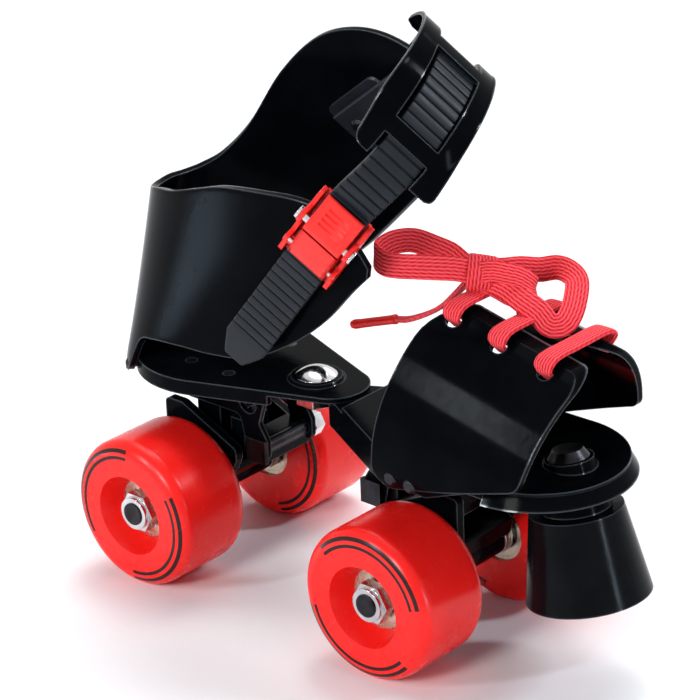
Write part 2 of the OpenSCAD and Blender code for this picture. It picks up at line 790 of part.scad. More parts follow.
// Smooth curve through a list of [key, value] pairs
function table_at(t, k) =
    let (
        n = len(t),
        i = max([for (j = [0 : n - 2]) if (t[j][0] <= k) j]),
        a = t[max(i - 1, 0)],
        b = t[i],
        c = t[i + 1],
        d = t[min(i + 2, n - 1)],
        s = (k - b[0]) / (c[0] - b[0]),
        mb = i == 0 ? 0 : (c[1] - a[1]) / (c[0] - a[0]) * (c[0] - b[0]),
        mc = i == n - 2 ? (c[1] - b[1]) : (d[1] - b[1]) / (d[0] - b[0]) * (c[0] - b[0]),
        s2 = s * s,
        s3 = s2 * s
    )
    (2 * s3 - 3 * s2 + 1) * b[1] + (s3 - 2 * s2 + s) * mb + (3 * s2 - 2 * s3) * c[1] + (s3 - s2) * mc;

// Heel cup: side s is -1 on the right and 1 on the left, k the share of the wing's length,
// v the share of the height there, less the distance inside the outer face
function cup_z(s, k, v) =
    let (
        low = table_at(s < 0 ? right_low : left_low, k),
        wing_h = s < 0 ? right_wing_h : left_wing_h,
        top = cup_back_h + (wing_h - cup_back_h) * table_at(s < 0 ? right_top : left_top, k)
    )
    low + (top - low) * v;
function cup_point(s, k, v, less) =
    let (
        z = cup_z(s, k, v),
        d = max(0, (s < 0 ? right_wing_len : left_wing_len) * k * k),
        depth = cup_d0 + cup_d_grow * max(0, z) / cup_ref_h - less,
        half = cup_d0 + (s < 0 ? cup_w_grow_right : cup_w_grow_left) * max(0, z) / cup_ref_h - less,
        e = min(1, d / depth),
        y = half * sqrt(1 - (1 - e) * (1 - e)) - cup_toe_in * pow(max(0, d - cup_toe_from), 2)
    )
    [rear_x - cup_behind + cup_lean * (z + cup_skirt) + d + less * (1 - e), s * y, deck_z + z];
function cup_grid(less) = [for (i = [-cup_steps : cup_steps])
    [for (j = [0 : cup_rows]) cup_point(i < 0 ? -1 : 1, abs(i) / cup_steps, j / cup_rows, less)]];

// Closed shell between two grids of points that have the same layout
module shell_between(outer, inner) {
    m = len(outer);
    n = len(outer[0]);
    at = function (side, i, j) side * m * n + i * n + j;
    quad = function (a, b, c, d) [[a, c, b], [a, d, c]];
    polyhedron(
        points = concat([for (row = outer) each row], [for (row = inner) each row]),
        faces = concat(
            [for (i = [0 : m - 2]) for (j = [0 : n - 2])
                each quad(at(0, i, j), at(0, i, j + 1), at(0, i + 1, j + 1), at(0, i + 1, j))],
            [for (i = [0 : m - 2]) for (j = [0 : n - 2])
                each quad(at(1, i, j), at(1, i + 1, j), at(1, i + 1, j + 1), at(1, i, j + 1))],
            [for (i = [0 : m - 2]) each quad(at(0, i, 0), at(0, i + 1, 0), at(1, i + 1, 0), at(1, i, 0))],
            [for (i = [0 : m - 2])
                each quad(at(0, i, n - 1), at(1, i, n - 1), at(1, i + 1, n - 1), at(0, i + 1, n - 1))],
            [for (j = [0 : n - 2]) each quad(at(0, 0, j), at(1, 0, j), at(1, 0, j + 1), at(0, 0, j + 1))],
            [for (j = [0 : n - 2])
                each quad(at(0, m - 1, j), at(0, m - 1, j + 1), at(1, m - 1, j + 1), at(1, m - 1, j))]
        ),
        convexity = 10
    );
}

module heel_cup() {
    color([0.06, 0.06, 0.07]) shell_between(cup_grid(0), cup_grid(cup_t));
}

cup_rivet_r = 1.2;
cup_rivet_a = [-50, 0, 50];
module cup_rivet_places() {
    for (a = cup_rivet_a) translate([rear_x + heel_ahead, 0, deck_z - heel_rim + 1.9])
        rotate([0, 0, a]) translate([-heel_r, 0, 0]) rotate([0, -90, 0]) children();
}

module heel_cup_rivets() {
    head_h = 0.8;
    inside = sheet_t + head_h;
    outside = cup_fit + cup_t + 0.3;
    color("dimgray") cup_rivet_places() {
        translate([0, 0, -inside]) cylinder(h = inside + outside, r = cup_rivet_r - tiny);
        translate([0, 0, -inside]) cylinder(h = head_h, r = cup_rivet_r * 1.25);
        translate([0, 0, outside - 0.2]) cylinder(h = head_h, r1 = cup_rivet_r * 2, r2 = cup_rivet_r);
    }
}

// Strap frame: local X runs up along the strap, Z out of its face
module strap_frame() {
    translate([strap_x, strap_y, strap_z]) rotate([0, 0, strap_turn])
        rotate([90 + strap_tilt, 0, 0]) rotate([0, 0, strap_slope]) children();
}

// Arch frame: the middle of the strap's arch, where the strap has swung and twisted back
module arch_frame() {
    strap_frame() translate([arch_from, 0, 0]) rotate([0, 0, arch_yaw]) rotate([arch_twist, 0, 0])
        translate([0, 0, -arch_r]) children();
}

// Band round the arch between two radii and two angles, measured from the arch's start
module arch_band(r_in, r_out, a0, a1, w, y = 0) {
    arch_frame() translate([0, y, 0]) rotate([90, 0, 0]) rotate([0, 0, 90 - a1])
        rotate_extrude(angle = a1 - a0) translate([r_in, -w / 2]) square([r_out - r_in, w]);
}

module ankle_strap() {
    half = strap_t / 2;
    tip = 9;
    rib_w = strap_w - 2;
    rib_a = rib_pitch / arch_r * 180 / PI;
    color([0.1, 0.1, 0.1]) difference() {
        union() {
            strap_frame() {
                translate([0, 0, -half]) linear_extrude(strap_t) polygon(rounded([
                    [arch_from + 1.5, -strap_w / 2], [arch_from + 1.5, strap_w / 2], [-tail_len + tip,
                        strap_w / 2],
                    [-tail_len, strap_w / 4], [-tail_len, -strap_w / 4], [-tail_len + tip, -strap_w / 2]
                ], [0, 0, 3, 2, 2, 3]));
                for (i = [0 : rib_n - 1])
                    translate([-tail_len + tip + 6 + i * rib_pitch, -rib_w / 2, half - tiny])
                        cube([rib_len, rib_w, rib_h]);
            }
            arch_band(arch_r - half, arch_r + half, 0, arch_end_a, strap_w);
            for (a = [rib_a : rib_a : pad_a1])
                arch_band(arch_r + half - tiny, arch_r + half + rib_h, a, a + rib_a / 2, rib_w);
            strap_end() translate([-strap_drop, -strap_w / 2, -half]) cube([strap_drop, strap_w, strap_t]);
        }
        strap_rivet_places() cylinder(h = 20, r = strap_rivet_r, center = true);
    }
}

// Pad: a curved base under the strap, a rail on each side of it and two bridges over it
module ankle_pad() {
    base_out = arch_r - strap_t / 2 - pad_room;
    roof_in = arch_r + strap_t / 2 + rib_h + pad_room;
    channel_w = strap_w + 2 * pad_room + 0.6;
    rail_w = pad_rail_w;
    rail_y = (channel_w + rail_w) / 2;
    bridge_w = channel_w + rail_w;
    color([0.08, 0.08, 0.09]) union() {
        arch_band(base_out - pad_t, base_out, pad_a0, pad_a1, pad_w);
        for (y = [-rail_y, rail_y])
            arch_band(base_out - pad_t / 2, roof_in + pad_top, pad_frame_a0, pad_frame_a1, rail_w, y);
        for (a = [pad_frame_a0 + 1, pad_frame_a1 - 1 - bridge_a])
            arch_band(roof_in, roof_in + pad_top - 0.4, a, a + bridge_a, bridge_w);
    }
}

// Strap end frame: the middle of the strap's fixed end, with local Z towards the left wing
module strap_end() {
    arch_frame() rotate([0, arch_end_a, 0]) translate([strap_drop, 0, arch_r]) children();
}

// Patch between the strap's fixed end and the left wing
anchor_t = 1.4;
module strap_anchor() {
    color([0.09, 0.09, 0.1]) difference() {
        strap_end() translate([0, 0, strap_t / 2]) linear_extrude(anchor_t)
            polygon(rounded([[-26, -11], [2, -11], [2, 11], [-26, 11]], [3, 3, 3, 3]));
        strap_rivet_places() cylinder(h = 20, r = strap_rivet_r, center = true);
    }
}

// Buckle base: floor under the strap, side walls and a cover over the lower half
module buckle_base() {
    half = buckle_w / 2;
    floor_bottom = buckle_floor_z - buckle_floor_t;
    cover_t = 1.6;
    wall = rounded([
        [-buckle_back, floor_bottom], [buckle_len - buckle_back, floor_bottom],
        [buckle_len - buckle_back, 2], [buckle_pin_x + 4, buckle_top_z], [buckle_pin_x - 6, buckle_top_z],
        [cover_from, 7], [-buckle_back, 4]
    ], [1, 1, 1, 2, 3, 2, 1.5]);
    cover = [
        [cover_from, 5.2], [buckle_pin_x - 3.4, 6.4], [buckle_pin_x - 3.4, 6.4 + cover_t],
        [cover_from, 5.2 + cover_t]
    ];
    color("red") strap_frame() difference() {
        union() {
            translate([-buckle_back, -half, floor_bottom]) cube([buckle_len, buckle_w, buckle_floor_t]);
            both_sides() side_plate(half - wall_t, half) polygon(wall);
            side_plate(-half + 1, half - 1) polygon(cover);
        }
        translate([buckle_pin_x, half + 1, buckle_pin_z]) rotate([90, 0, 0])
            cylinder(h = buckle_w + 2, r = buckle_pin_r + tiny);
        translate([pawl_x, half + 1, pawl_z]) rotate([90, 0, 0])
            cylinder(h = buckle_w + 2, r = pawl_pin_r + tiny);
        buckle_rivet_places() cylinder(h = 10, r = buckle_rivet_r, center = true);
    }
}

// Pins of the lever and of the pawl
module buckle_pins() {
    head_h = 1;
    color("silver") strap_frame() {
        translate([buckle_pin_x, buckle_w / 2 + head_h, buckle_pin_z]) rotate([90, 0, 0]) {
            cylinder(h = buckle_w + 2 * head_h, r = buckle_pin_r);
            cylinder(h = head_h, r = buckle_pin_r + 1);
            translate([0, 0, buckle_w + head_h]) cylinder(h = head_h, r = buckle_pin_r + 1);
        }
        translate([pawl_x, buckle_w / 2, pawl_z]) rotate([90, 0, 0]) cylinder(h = buckle_w, r = pawl_pin_r);
    }
}

// Rivets that hold the buckle's base on the right wing
buckle_rivet_r = 1.5;
module buckle_rivet_places() {
    for (x = [-17, 6]) translate([x, 0, buckle_floor_z - buckle_floor_t]) children();
}

module buckle_rivets() {
    depth = 4;
    color("dimgray") strap_frame() buckle_rivet_places()
        translate([0, 0, -depth]) cylinder(h = depth + buckle_floor_t, r = buckle_rivet_r - tiny);
}

// Lever: hub round the pin and a grip plate with four grooves
module buckle_lever() {
    grip = [
        [0, 1.2], [lever_len, 2.6], [lever_len, 4.6], [3, 3.6], [-1, 2.6], [-2, 1.2]
    ];
    groove_w = 1.3;
    color("red") strap_frame() translate([buckle_pin_x, 0, buckle_pin_z]) difference() {
        union() {
            side_plate(-lever_w / 2, lever_w / 2) polygon(grip);
            rotate([90, 0, 0]) cylinder(h = lever_w, r = buckle_pin_r + 1.1, center = true);
        }
        rotate([90, 0, 0]) cylinder(h = lever_w + 2, r = buckle_pin_r + 0.05, center = true);
        for (i = [0 : 3]) translate([2.6 + i * 2.1, -lever_w / 2 - 1, 3.6 + i * 0.3])
            cube([groove_w, lever_w + 2, 2]);
    }
}

// Pawl: a sprung tongue on its own pivot under the cover, whose tooth rests between two ribs
module buckle_pawl() {
    pawl_w = strap_w - 4;
    finger = [[-1.6, -1.1], [4.6, -1.4], [5.9, -2.4], [6.5, -2.3], [6.5, -0.4], [0, 1.3], [-1.6, 1.1]];
    color("red") strap_frame() translate([pawl_x, 0, pawl_z]) difference() {
        side_plate(-pawl_w / 2, pawl_w / 2) polygon(finger);
        rotate([90, 0, 0]) cylinder(h = pawl_w + 2, r = pawl_pin_r + 0.05, center = true);
    }
}

// Rivets of the strap's fixed end, through the strap, the patch and the left wing
strap_rivet_r = 2;
module strap_rivet_places() {
    strap_end() for (x = [-17, -6]) translate([x, 0, 0]) children();
}

module strap_rivets() {
    color("dimgray") strap_rivet_places() {
        translate([0, 0, -strap_t / 2]) cylinder(h = strap_t + anchor_t + 4, r = strap_rivet_r - tiny);
        translate([0, 0, -strap_t / 2 - 1]) cylinder(h = 1, r1 = strap_rivet_r, r2 = strap_rivet_r * 1.6);
    }
}

// Flat cord swept along a route of points, with its width along the hint
function route_dir(p, i) = unit(p[min(i + 1, len(p) - 1)] - p[max(i - 1, 0)]);
function cord_ring(p, i, w, t, hint, facing) =
    let (
        f = route_dir(p, i),
        side = unit(facing ? cross(hint, f) : cross(f, cross(hint, f))),
        up = cross(f, side)
    )
    [for (k = [0 : 7]) p[i] + side * w / 2 * cos(k * 45 + 22.5) + up * t / 2 * sin(k * 45 + 22.5)];
module flat_cord(p, w, t, hint, facing = false) {
    n = len(p);
    polyhedron(
        points = [for (i = [0 : n - 1]) each cord_ring(p, i, w, t, hint, facing)],
        faces = concat(
            [[for (k = [0 : 7]) k]],
            [for (i = [0 : n - 2]) for (k = [0 : 7]) each [
                [i * 8 + k, (i + 1) * 8 + k, (i + 1) * 8 + (k + 1) % 8],
                [i * 8 + k, (i + 1) * 8 + (k + 1) % 8, i * 8 + (k + 1) % 8]]],
            [[for (k = [7 : -1 : 0]) (n - 1) * 8 + k]]
        )
    );
}

// Lace routes, in X from the front axle, Y, and Z over the plates
bow_left = [[9, -4, 59], [7, -9, 61], [3, -14, 62], [-2, -17, 62], [-7, -20, 62], [-12, -21, 62],
    [-17, -19, 63], [-19, -15, 63], [-18, -9, 64], [-14, -4, 64], [-8, -1, 62], [-2, 1, 60], [5, 0, 58]];
bow_right = [[9, 2, 58], [12, 8, 56], [15, 15, 55], [19, 20, 54], [24, 23, 55], [30, 22, 55], [35, 19, 54],
    [39, 13, 51], [41, 8, 48], [41, 4, 46], [38, 1, 46], [34, 0, 50], [28, -1, 53], [21, 0, 55], [14, 0,
        56]];
bow_front = [[12, -3, 59], [17, -1, 60], [22, 0, 60], [26, 2, 59], [29, 4, 56], [28, 4, 53], [26, 4, 51],
    [21, 3, 51], [17, 0, 54], [13, -2, 56]];
tail_route = [[6, 0, 54], [0, 2, 48], [-7, 3, 41], [-14, 3, 36], [-22, 2, 32], [-27, 1, 31]];
tip_route = [[-27, 1, 31], [-36, 0, 28], [-45, -1, 25]];
knot_at = [11, 0, 57];
bow_up = [-0.26, 0.34, 0.9];
bow_face = [0.61, -0.66, 0.43];

module lace_frame() {
    translate([front_x, 0, deck_z]) children();
}

// One crossing of the lace, from a hole in the right flap over both top edges to the left flap
function crossing(u) =
    let (
        x = u * cos(flap_slope) + flap_r * sin(lace_hole_a) * sin(flap_slope) - flap_behind,
        z = flap_axis_up - u * sin(flap_slope) + flap_r * sin(lace_hole_a) * cos(flap_slope),
        y = flap_r * cos(lace_hole_a) - flap_y,
        half = [[y - 2.5, -2.5], [y + 1, 1.5], [y - 0.5, 4.2], [y - 5, 5], [y * 0.3, 5]]
    )
    concat(
        [for (q = half) [x, -q[0], z + q[1]]],
        [for (i = [len(half) - 1 : -1 : 0]) [x, half[i][0], z + half[i][1]]]
    );

module lace_crossings() {
    color("red") lace_frame() for (u = lace_hole_u) flat_cord(crossing(u), 4.4, lace_t, [1, 0, 0]);
}

module lace_knot() {
    color("red") lace_frame() translate(knot_at) rotate([0, 75, 0]) rotate_extrude()
        polygon([[0, -6], [4, -6], [6, -3.5], [6.5, 0], [6, 3.5], [4, 6], [0, 6]]);
}

module lace_loop_left() {
    color("red") lace_frame() flat_cord(bow_left, lace_w, lace_t, bow_up);
}

module lace_loop_right() {
    color("red") lace_frame() flat_cord(bow_right, lace_w, lace_t, bow_face, true);
}

module lace_loop_front() {
    color("red") lace_frame() flat_cord(bow_front, 0.85 * lace_w, lace_t, bow_up);
}

module lace_tail() {
    color("red") lace_frame() flat_cord(tail_route, lace_w * 0.7, lace_t, [0, 1, 0]);
}

module lace_tip() {
    color("red") lace_frame() flat_cord(tip_route, 3.4, 3.4, [0, 1, 0]);
}

toe_plate();
bracket(true);  // front_bracket
bracket_rivets(true);  // front_bracket_rivets
rubber_block(true);  // front_rubber_block
cross_bolt(true);  // front_cross_bolt
cross_nut(true);  // front_cross_nut
toe_stop();
toe_stop_bolt();
toe_stop_nut();
toe_flap_right();
toe_flap_left();
flap_rivets();
lace_crossings();
lace_knot();
lace_loop_left();
lace_loop_right();
lace_loop_front();
lace_tail();
lace_tip();
hanger(true);  // front_hanger
axle(true);  // front_axle
axle_nuts(true);  // front_axle_nuts
axle_washers(true);  // front_axle_washers
spacers(true);  // front_spacers
inner_rings(true);  // front_inner_rings
wheel(true, true);  // wheel_front_right
bearings(true, true);  // bearings_front_right
wheel(true, false);  // wheel_front_left
bearings(true, false);  // bearings_front_left
heel_plate();
bracket(false);  // rear_bracket
bracket_rivets(false);  // rear_bracket_rivets
rubber_block(false);  // rear_rubber_block
cross_bolt(false);  // rear_cross_bolt
cross_nut(false);  // rear_cross_nut
clamp_bolt();
clamp_washer();
clamp_nut();
heel_cup();
heel_cup_rivets();
ankle_strap();
strap_anchor();
strap_rivets();
ankle_pad();
buckle_base();
buckle_pins();
buckle_rivets();
buckle_lever();
buckle_pawl();
hanger(false);  // rear_hanger
axle(false);  // rear_axle
axle_nuts(false);  // rear_axle_nuts
axle_washers(false);  // rear_axle_washers
spacers(false);  // rear_spacers
inner_rings(false);  // rear_inner_rings
wheel(false, true);  // wheel_rear_right
bearings(false, true);  // bearings_rear_right
wheel(false, false);  // wheel_rear_left
bearings(false, false);  // bearings_rear_left
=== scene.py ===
import json
import math

import bmesh
import bpy
from mathutils import Matrix, Vector


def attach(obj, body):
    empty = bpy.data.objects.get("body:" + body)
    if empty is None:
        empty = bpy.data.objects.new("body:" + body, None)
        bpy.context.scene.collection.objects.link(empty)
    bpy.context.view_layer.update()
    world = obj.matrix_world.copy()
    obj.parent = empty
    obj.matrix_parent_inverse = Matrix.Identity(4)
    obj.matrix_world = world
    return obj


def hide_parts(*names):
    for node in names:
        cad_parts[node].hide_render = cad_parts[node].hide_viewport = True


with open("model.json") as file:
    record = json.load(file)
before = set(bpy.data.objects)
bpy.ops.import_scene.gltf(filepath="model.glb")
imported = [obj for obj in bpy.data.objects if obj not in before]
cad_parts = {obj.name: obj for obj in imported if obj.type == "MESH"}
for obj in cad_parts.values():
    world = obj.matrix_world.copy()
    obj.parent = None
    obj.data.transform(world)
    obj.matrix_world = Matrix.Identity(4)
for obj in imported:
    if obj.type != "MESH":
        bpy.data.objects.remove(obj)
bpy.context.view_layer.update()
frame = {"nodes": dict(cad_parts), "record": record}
bpy.ops.object.select_all(action="DESELECT")

# Places that the part's source gives, in millimetres
MM = 0.001
REAR_X = -74.2535
FRONT_X = 33.7465
DECK_Z = 74.0
WHEEL_Z = 27.0


# Camera

camera_data = bpy.data.cameras.new("camera")
camera = bpy.data.objects.new("camera", camera_data)
bpy.context.collection.objects.link(camera)
bpy.context.scene.camera = camera
camera_data.lens = 162.54
camera_data.sensor_width = 36.0
camera_data.shift_x = 0.0168
camera_data.shift_y = 0.1019
camera_data.clip_start = 0.05
camera_data.clip_end = 20.0
view_right = Vector((0.7456, 0.6655, -0.0353))
view_up = Vector((-0.2604, 0.3397, 0.9038))
view_back = Vector((0.6134, -0.6647, 0.4265))
turn = Matrix((view_right, view_up, view_back)).transposed().to_4x4()
camera.matrix_world = Matrix.Translation((0.6459, -0.7219, 0.5232)) @ turn


# Materials


class Paint:
    """A material with a Principled shader and helpers that add the nodes of its surface."""

    def __init__(self, name, **inputs):
        self.mat = bpy.data.materials.new(name)
        self.mat.use_nodes = True
        self.nodes = self.mat.node_tree.nodes
        self.shader = self.nodes["Principled BSDF"]
        self.coord = self.add("ShaderNodeTexCoord")
        self.at = self.coord.outputs["Object"]
        for key, value in inputs.items():
            self.shader.inputs[key.replace("_", " ")].default_value = value

    def add(self, kind, **settings):
        node = self.nodes.new(kind)
        for key, value in settings.items():
            setattr(node, key, value)
        return node

    def link(self, a, b):
        self.mat.node_tree.links.new(a, b)

    def noise(self, scale, detail=4.0, rough=0.6, at=None):
        node = self.add("ShaderNodeTexNoise")
        node.inputs["Scale"].default_value = scale
        node.inputs["Detail"].default_value = detail
        node.inputs["Roughness"].default_value = rough
        self.link(at or self.at, node.inputs["Vector"])
        return node.outputs["Fac"]

    def span(self, value, low, high, from_low=0.3, from_high=0.7):
        node = self.add("ShaderNodeMapRange")
        node.inputs["From Min"].default_value = from_low
        node.inputs["From Max"].default_value = from_high
        node.inputs["To Min"].default_value = low
        node.inputs["To Max"].default_value = high
        self.link(value, node.inputs["Value"])
        return node.outputs["Result"]

    def ramp(self, value, stops, interpolation="LINEAR"):
        node = self.add("ShaderNodeValToRGB")
        node.color_ramp.interpolation = interpolation
        bar = node.color_ramp.elements
        while len(bar) < len(stops):
            bar.new(0.5)
        for element, (place, colour) in zip(bar, stops):
            element.position = place
            element.color = (*colour, 1.0)
        self.link(value, node.inputs["Fac"])
        return node.outputs["Color"]

    def math(self, operation, a, b=None):
        node = self.add("ShaderNodeMath", operation=operation)
        for socket, value in zip(node.inputs, (a, b)):
            if isinstance(value, (int, float)):
                socket.default_value = value
            elif value is not None:
                self.link(value, socket)
        return node.outputs["Value"]

    def mix(self, factor, a, b):
        node = self.add("ShaderNodeMix", data_type="RGBA")
        self.link(factor, node.inputs[0])
        for socket, value in zip((node.inputs[6], node.inputs[7]), (a, b)):
            if isinstance(value, tuple):
                socket.default_value = (*value, 1.0)
            else:
                self.link(value, socket)
        return node.outputs[2]

    def bump(self, height, strength, depth):
        node = self.add("ShaderNodeBump")
        node.inputs["Strength"].default_value = strength
        node.inputs["Distance"].default_value = depth
        self.link(height, node.inputs["Height"])
        if self.shader.inputs["Normal"].is_linked:
            self.link(self.shader.inputs["Normal"].links[0].from_socket, node.inputs["Normal"])
        self.link(node.outputs["Normal"], self.shader.inputs["Normal"])

    def soft_edges(self, radius):
        node = self.add("ShaderNodeBevel", samples=4)
        node.inputs["Radius"].default_value = radius
        self.link(node.outputs["Normal"], self.shader.inputs["Normal"])

    def lit_edges(self, radius, weight):
        """A glossy skin on the rounded edges only. The edges' mask that it returns also places a painted
        highlight in moulded.
        """
        wide = self.add("ShaderNodeBevel", samples=4)
        wide.inputs["Radius"].default_value = radius
        face = self.add("ShaderNodeNewGeometry")
        same = self.add("ShaderNodeVectorMath", operation="DOT_PRODUCT")
        self.link(wide.outputs["Normal"], same.inputs[0])
        self.link(face.outputs["Normal"], same.inputs[1])
        edge = self.span(same.outputs["Value"], weight, 0.0, 0.80, 0.97)
        self.link(edge, self.shader.inputs["Coat Weight"])
        return edge

    def colour(self, socket):
        self.link(socket, self.shader.inputs["Base Color"])

    def rough(self, socket):
        self.link(socket, self.shader.inputs["Roughness"])


# Light blue-grey mixed into the rounded edges' colour: a painted highlight.
PAINTED_EDGE_HIGHLIGHT = (0.055, 0.072, 0.088)
FINE_DEPTH = 0.00004


def moulded(name, dark, light, rough, grain, depth, ior=1.4, edge=0.0):
    """Moulded or painted surface: faint clouding, a broken gloss, an orange peel and fine scratches; where
    edge is given, a gloss coat and a painted highlight on the rounded edges.
    """
    paint = Paint(name, IOR=ior, Coat_Roughness=0.12)
    paint.soft_edges(0.0006)
    tone = paint.ramp(paint.noise(55.0), [(0.35, dark), (0.7, light)])
    # Painted highlight: the rounded edges' colour turns to a light blue-grey.
    if edge:
        tone = paint.mix(paint.lit_edges(0.0010, edge), tone, PAINTED_EDGE_HIGHLIGHT)
    paint.colour(tone)
    paint.rough(paint.span(paint.noise(180.0, 6.0, 0.7), rough[0], rough[1]))
    paint.bump(paint.noise(grain, 2.0), 0.25, depth)
    scratch = paint.add("ShaderNodeMapping")
    scratch.inputs["Rotation"].default_value = (0.3, 0.5, 0.9)
    scratch.inputs["Scale"].default_value = (60.0, 900.0, 900.0)
    paint.link(paint.at, scratch.inputs["Vector"])
    lines = paint.span(paint.noise(1.0, 3.0, 0.5, scratch.outputs["Vector"]), 0.0, 1.0, 0.62, 0.75)
    paint.bump(lines, 0.08, FINE_DEPTH)
    return paint


def metal(name, dark, light, rough, grain=(900.0, 900.0, 120.0)):
    """Bare or plated metal with drawn marks and a few dull spots."""
    paint = Paint(name, Metallic=1.0)
    paint.soft_edges(0.0004)
    paint.colour(paint.ramp(paint.noise(120.0), [(0.3, dark), (0.7, light)]))
    marks = paint.add("ShaderNodeMapping")
    marks.inputs["Scale"].default_value = grain
    paint.link(paint.at, marks.inputs["Vector"])
    drawn = paint.noise(1.0, 3.0, 0.6, marks.outputs["Vector"])
    paint.rough(paint.span(drawn, rough[0], rough[1]))
    paint.bump(drawn, 0.12, FINE_DEPTH)
    return paint


WHEEL_REACH = 0.03
PRINT_RINGS = (0.70, 0.742, 0.785, 0.825)
PRINT_SWEEP = (0.06, 0.40, 0.56, 0.90)


def wheel_paint(name, centre, start):
    """Cast red tyre: turned rings on the faces and two pairs of dark printed arcs round the hub."""
    paint = Paint(name, IOR=1.33, Subsurface_Weight=0.06, Subsurface_Scale=0.002)
    paint.shader.inputs["Subsurface Radius"].default_value = (1.0, 0.25, 0.2)
    turned = paint.add("ShaderNodeMapping")
    turned.inputs["Location"].default_value = (-centre[0], 0.0, -centre[2])
    paint.link(paint.at, turned.inputs["Vector"])
    flat = paint.add("ShaderNodeMapping")
    flat.inputs["Rotation"].default_value = (math.radians(90.0), 0.0, 0.0)
    paint.link(turned.outputs["Vector"], flat.inputs["Vector"])
    spun = paint.add("ShaderNodeMapping")
    spun.inputs["Rotation"].default_value = (0.0, 0.0, math.radians(start))
    paint.link(flat.outputs["Vector"], spun.inputs["Vector"])
    round_about = paint.add("ShaderNodeTexGradient", gradient_type="RADIAL")
    paint.link(spun.outputs["Vector"], round_about.inputs["Vector"])
    squash = paint.add("ShaderNodeMapping")
    squash.inputs["Scale"].default_value = (1.0, 1.0, 0.0)
    paint.link(flat.outputs["Vector"], squash.inputs["Vector"])
    reach = paint.add("ShaderNodeVectorMath", operation="LENGTH")
    paint.link(squash.outputs["Vector"], reach.inputs[0])
    radius = paint.span(reach.outputs["Value"], 0.0, 1.0, 0.0, WHEEL_REACH)
    black, white = (0.0, 0.0, 0.0), (1.0, 1.0, 1.0)
    arcs = paint.math("MULTIPLY", *(
        paint.ramp(value, list(zip((0.0, *stops), (black, white, black, white, black))), "CONSTANT")
        for value, stops in ((radius, PRINT_RINGS), (round_about.outputs["Fac"], PRINT_SWEEP))
    ))
    red = paint.ramp(paint.noise(70.0), [(0.3, (0.92, 0.012, 0.009)), (0.7, (0.96, 0.015, 0.012))])
    paint.colour(paint.mix(arcs, red, (0.016, 0.003, 0.003)))
    paint.rough(paint.span(paint.noise(160.0, 6.0), 0.24, 0.29))
    turning = paint.add("ShaderNodeTexWave", wave_type="RINGS", rings_direction="Z")
    turning.inputs["Scale"].default_value = 190.0
    turning.inputs["Distortion"].default_value = 0.4
    paint.link(flat.outputs["Vector"], turning.inputs["Vector"])
    paint.bump(turning.outputs["Fac"], 0.10, 0.00005)
    paint.bump(paint.noise(700.0, 2.0), 0.08, FINE_DEPTH)
    return paint


LACE_CORDS = 7.0
LACE_PICKS = 1250.0


def lace_paint(name, dark, light):
    """Flat woven lace: lengthwise cords with a twill between them, along the ribbon's own map. Its colour is
    painted shade in the weave's grooves and a painted highlight on its ridges.
    """
    paint = Paint(name, Sheen_Weight=0.03, Sheen_Roughness=0.4, Roughness=0.62, IOR=1.2)
    along = paint.coord.outputs["UV"]
    parts = paint.add("ShaderNodeSeparateXYZ")
    paint.link(along, parts.inputs["Vector"])
    across, length = parts.outputs["X"], parts.outputs["Y"]
    cords = paint.math("SINE", paint.math("MULTIPLY", across, 2.0 * math.pi * LACE_CORDS))
    skew = paint.math("ABSOLUTE", paint.math("SUBTRACT", across, 0.5))
    slant = paint.math("ADD", paint.math("MULTIPLY", length, LACE_PICKS), paint.math("MULTIPLY", skew, 20.0))
    picks = paint.math("SINE", paint.math("MULTIPLY", slant, 2.0))
    height = paint.math("ADD", paint.math("MULTIPLY", cords, 0.6), paint.math("MULTIPLY", picks, 0.4))
    # Painted shade and highlight: the colour darkens in the weave's grooves and lightens on its ridges.
    tone = paint.math("ADD", paint.span(cords, 0.0, 0.75, -1.0, 1.0), paint.span(picks, 0.0, 0.25, -1.0, 1.0))
    paint.colour(paint.ramp(tone, [(0.1, dark), (0.95, light)]))
    paint.rough(paint.span(paint.noise(900.0), 0.55, 0.75))
    paint.bump(height, 0.6, 0.0003)
    paint.bump(paint.noise(2500.0, 2.0), 0.25, 0.0001)
    return paint


paints = {
    "red_plastic": moulded(
        "red plastic", (0.90, 0.018, 0.014), (0.97, 0.028, 0.022), (0.2, 0.3), 900.0, FINE_DEPTH, 1.35),
    # Red lace: the darker red is painted shade in the weave's grooves, the lighter red a painted highlight on
    # its ridges.
    "red_lace": lace_paint("red lace", (0.62, 0.004, 0.010), (1.0, 0.115, 0.14)),
    # The last number of black pvc, black rubber and black steel weights their edges' gloss coat and their
    # painted highlight.
    "black_pvc": moulded(
        "black pvc", (0.0010, 0.0014, 0.0020), (0.0022, 0.0028, 0.0038),
        (0.08, 0.15), 350.0, FINE_DEPTH, 1.065, 0.9),
    # Black strap: a dark colour of its own, with a blue cast that is a painted reflection of the cool lamps.
    "black_strap": moulded(
        "black strap", (0.0044, 0.0068, 0.0100), (0.0092, 0.0140, 0.0200),
        (0.36, 0.50), 1400.0, 0.0001, 1.32),
    "black_rubber": moulded(
        "black rubber", (0.0016, 0.002, 0.0028), (0.004, 0.0048, 0.006),
        (0.14, 0.24), 800.0, 0.00008, 1.14, 0.5),
    "black_steel": moulded(
        "black steel", (0.0010, 0.0014, 0.0020), (0.0022, 0.0028, 0.0038),
        (0.09, 0.18), 420.0, 0.00006, 1.08, 0.9),
    "dark_steel": metal("dark steel", (0.012, 0.012, 0.014), (0.045, 0.045, 0.05), (0.25, 0.45)),
    "bearing_shield": metal("bearing shield", (0.42, 0.37, 0.28), (0.68, 0.62, 0.51), (0.16, 0.34)),
    "chrome": metal("chrome", (0.50, 0.50, 0.52), (0.74, 0.74, 0.76), (0.08, 0.22)),
}

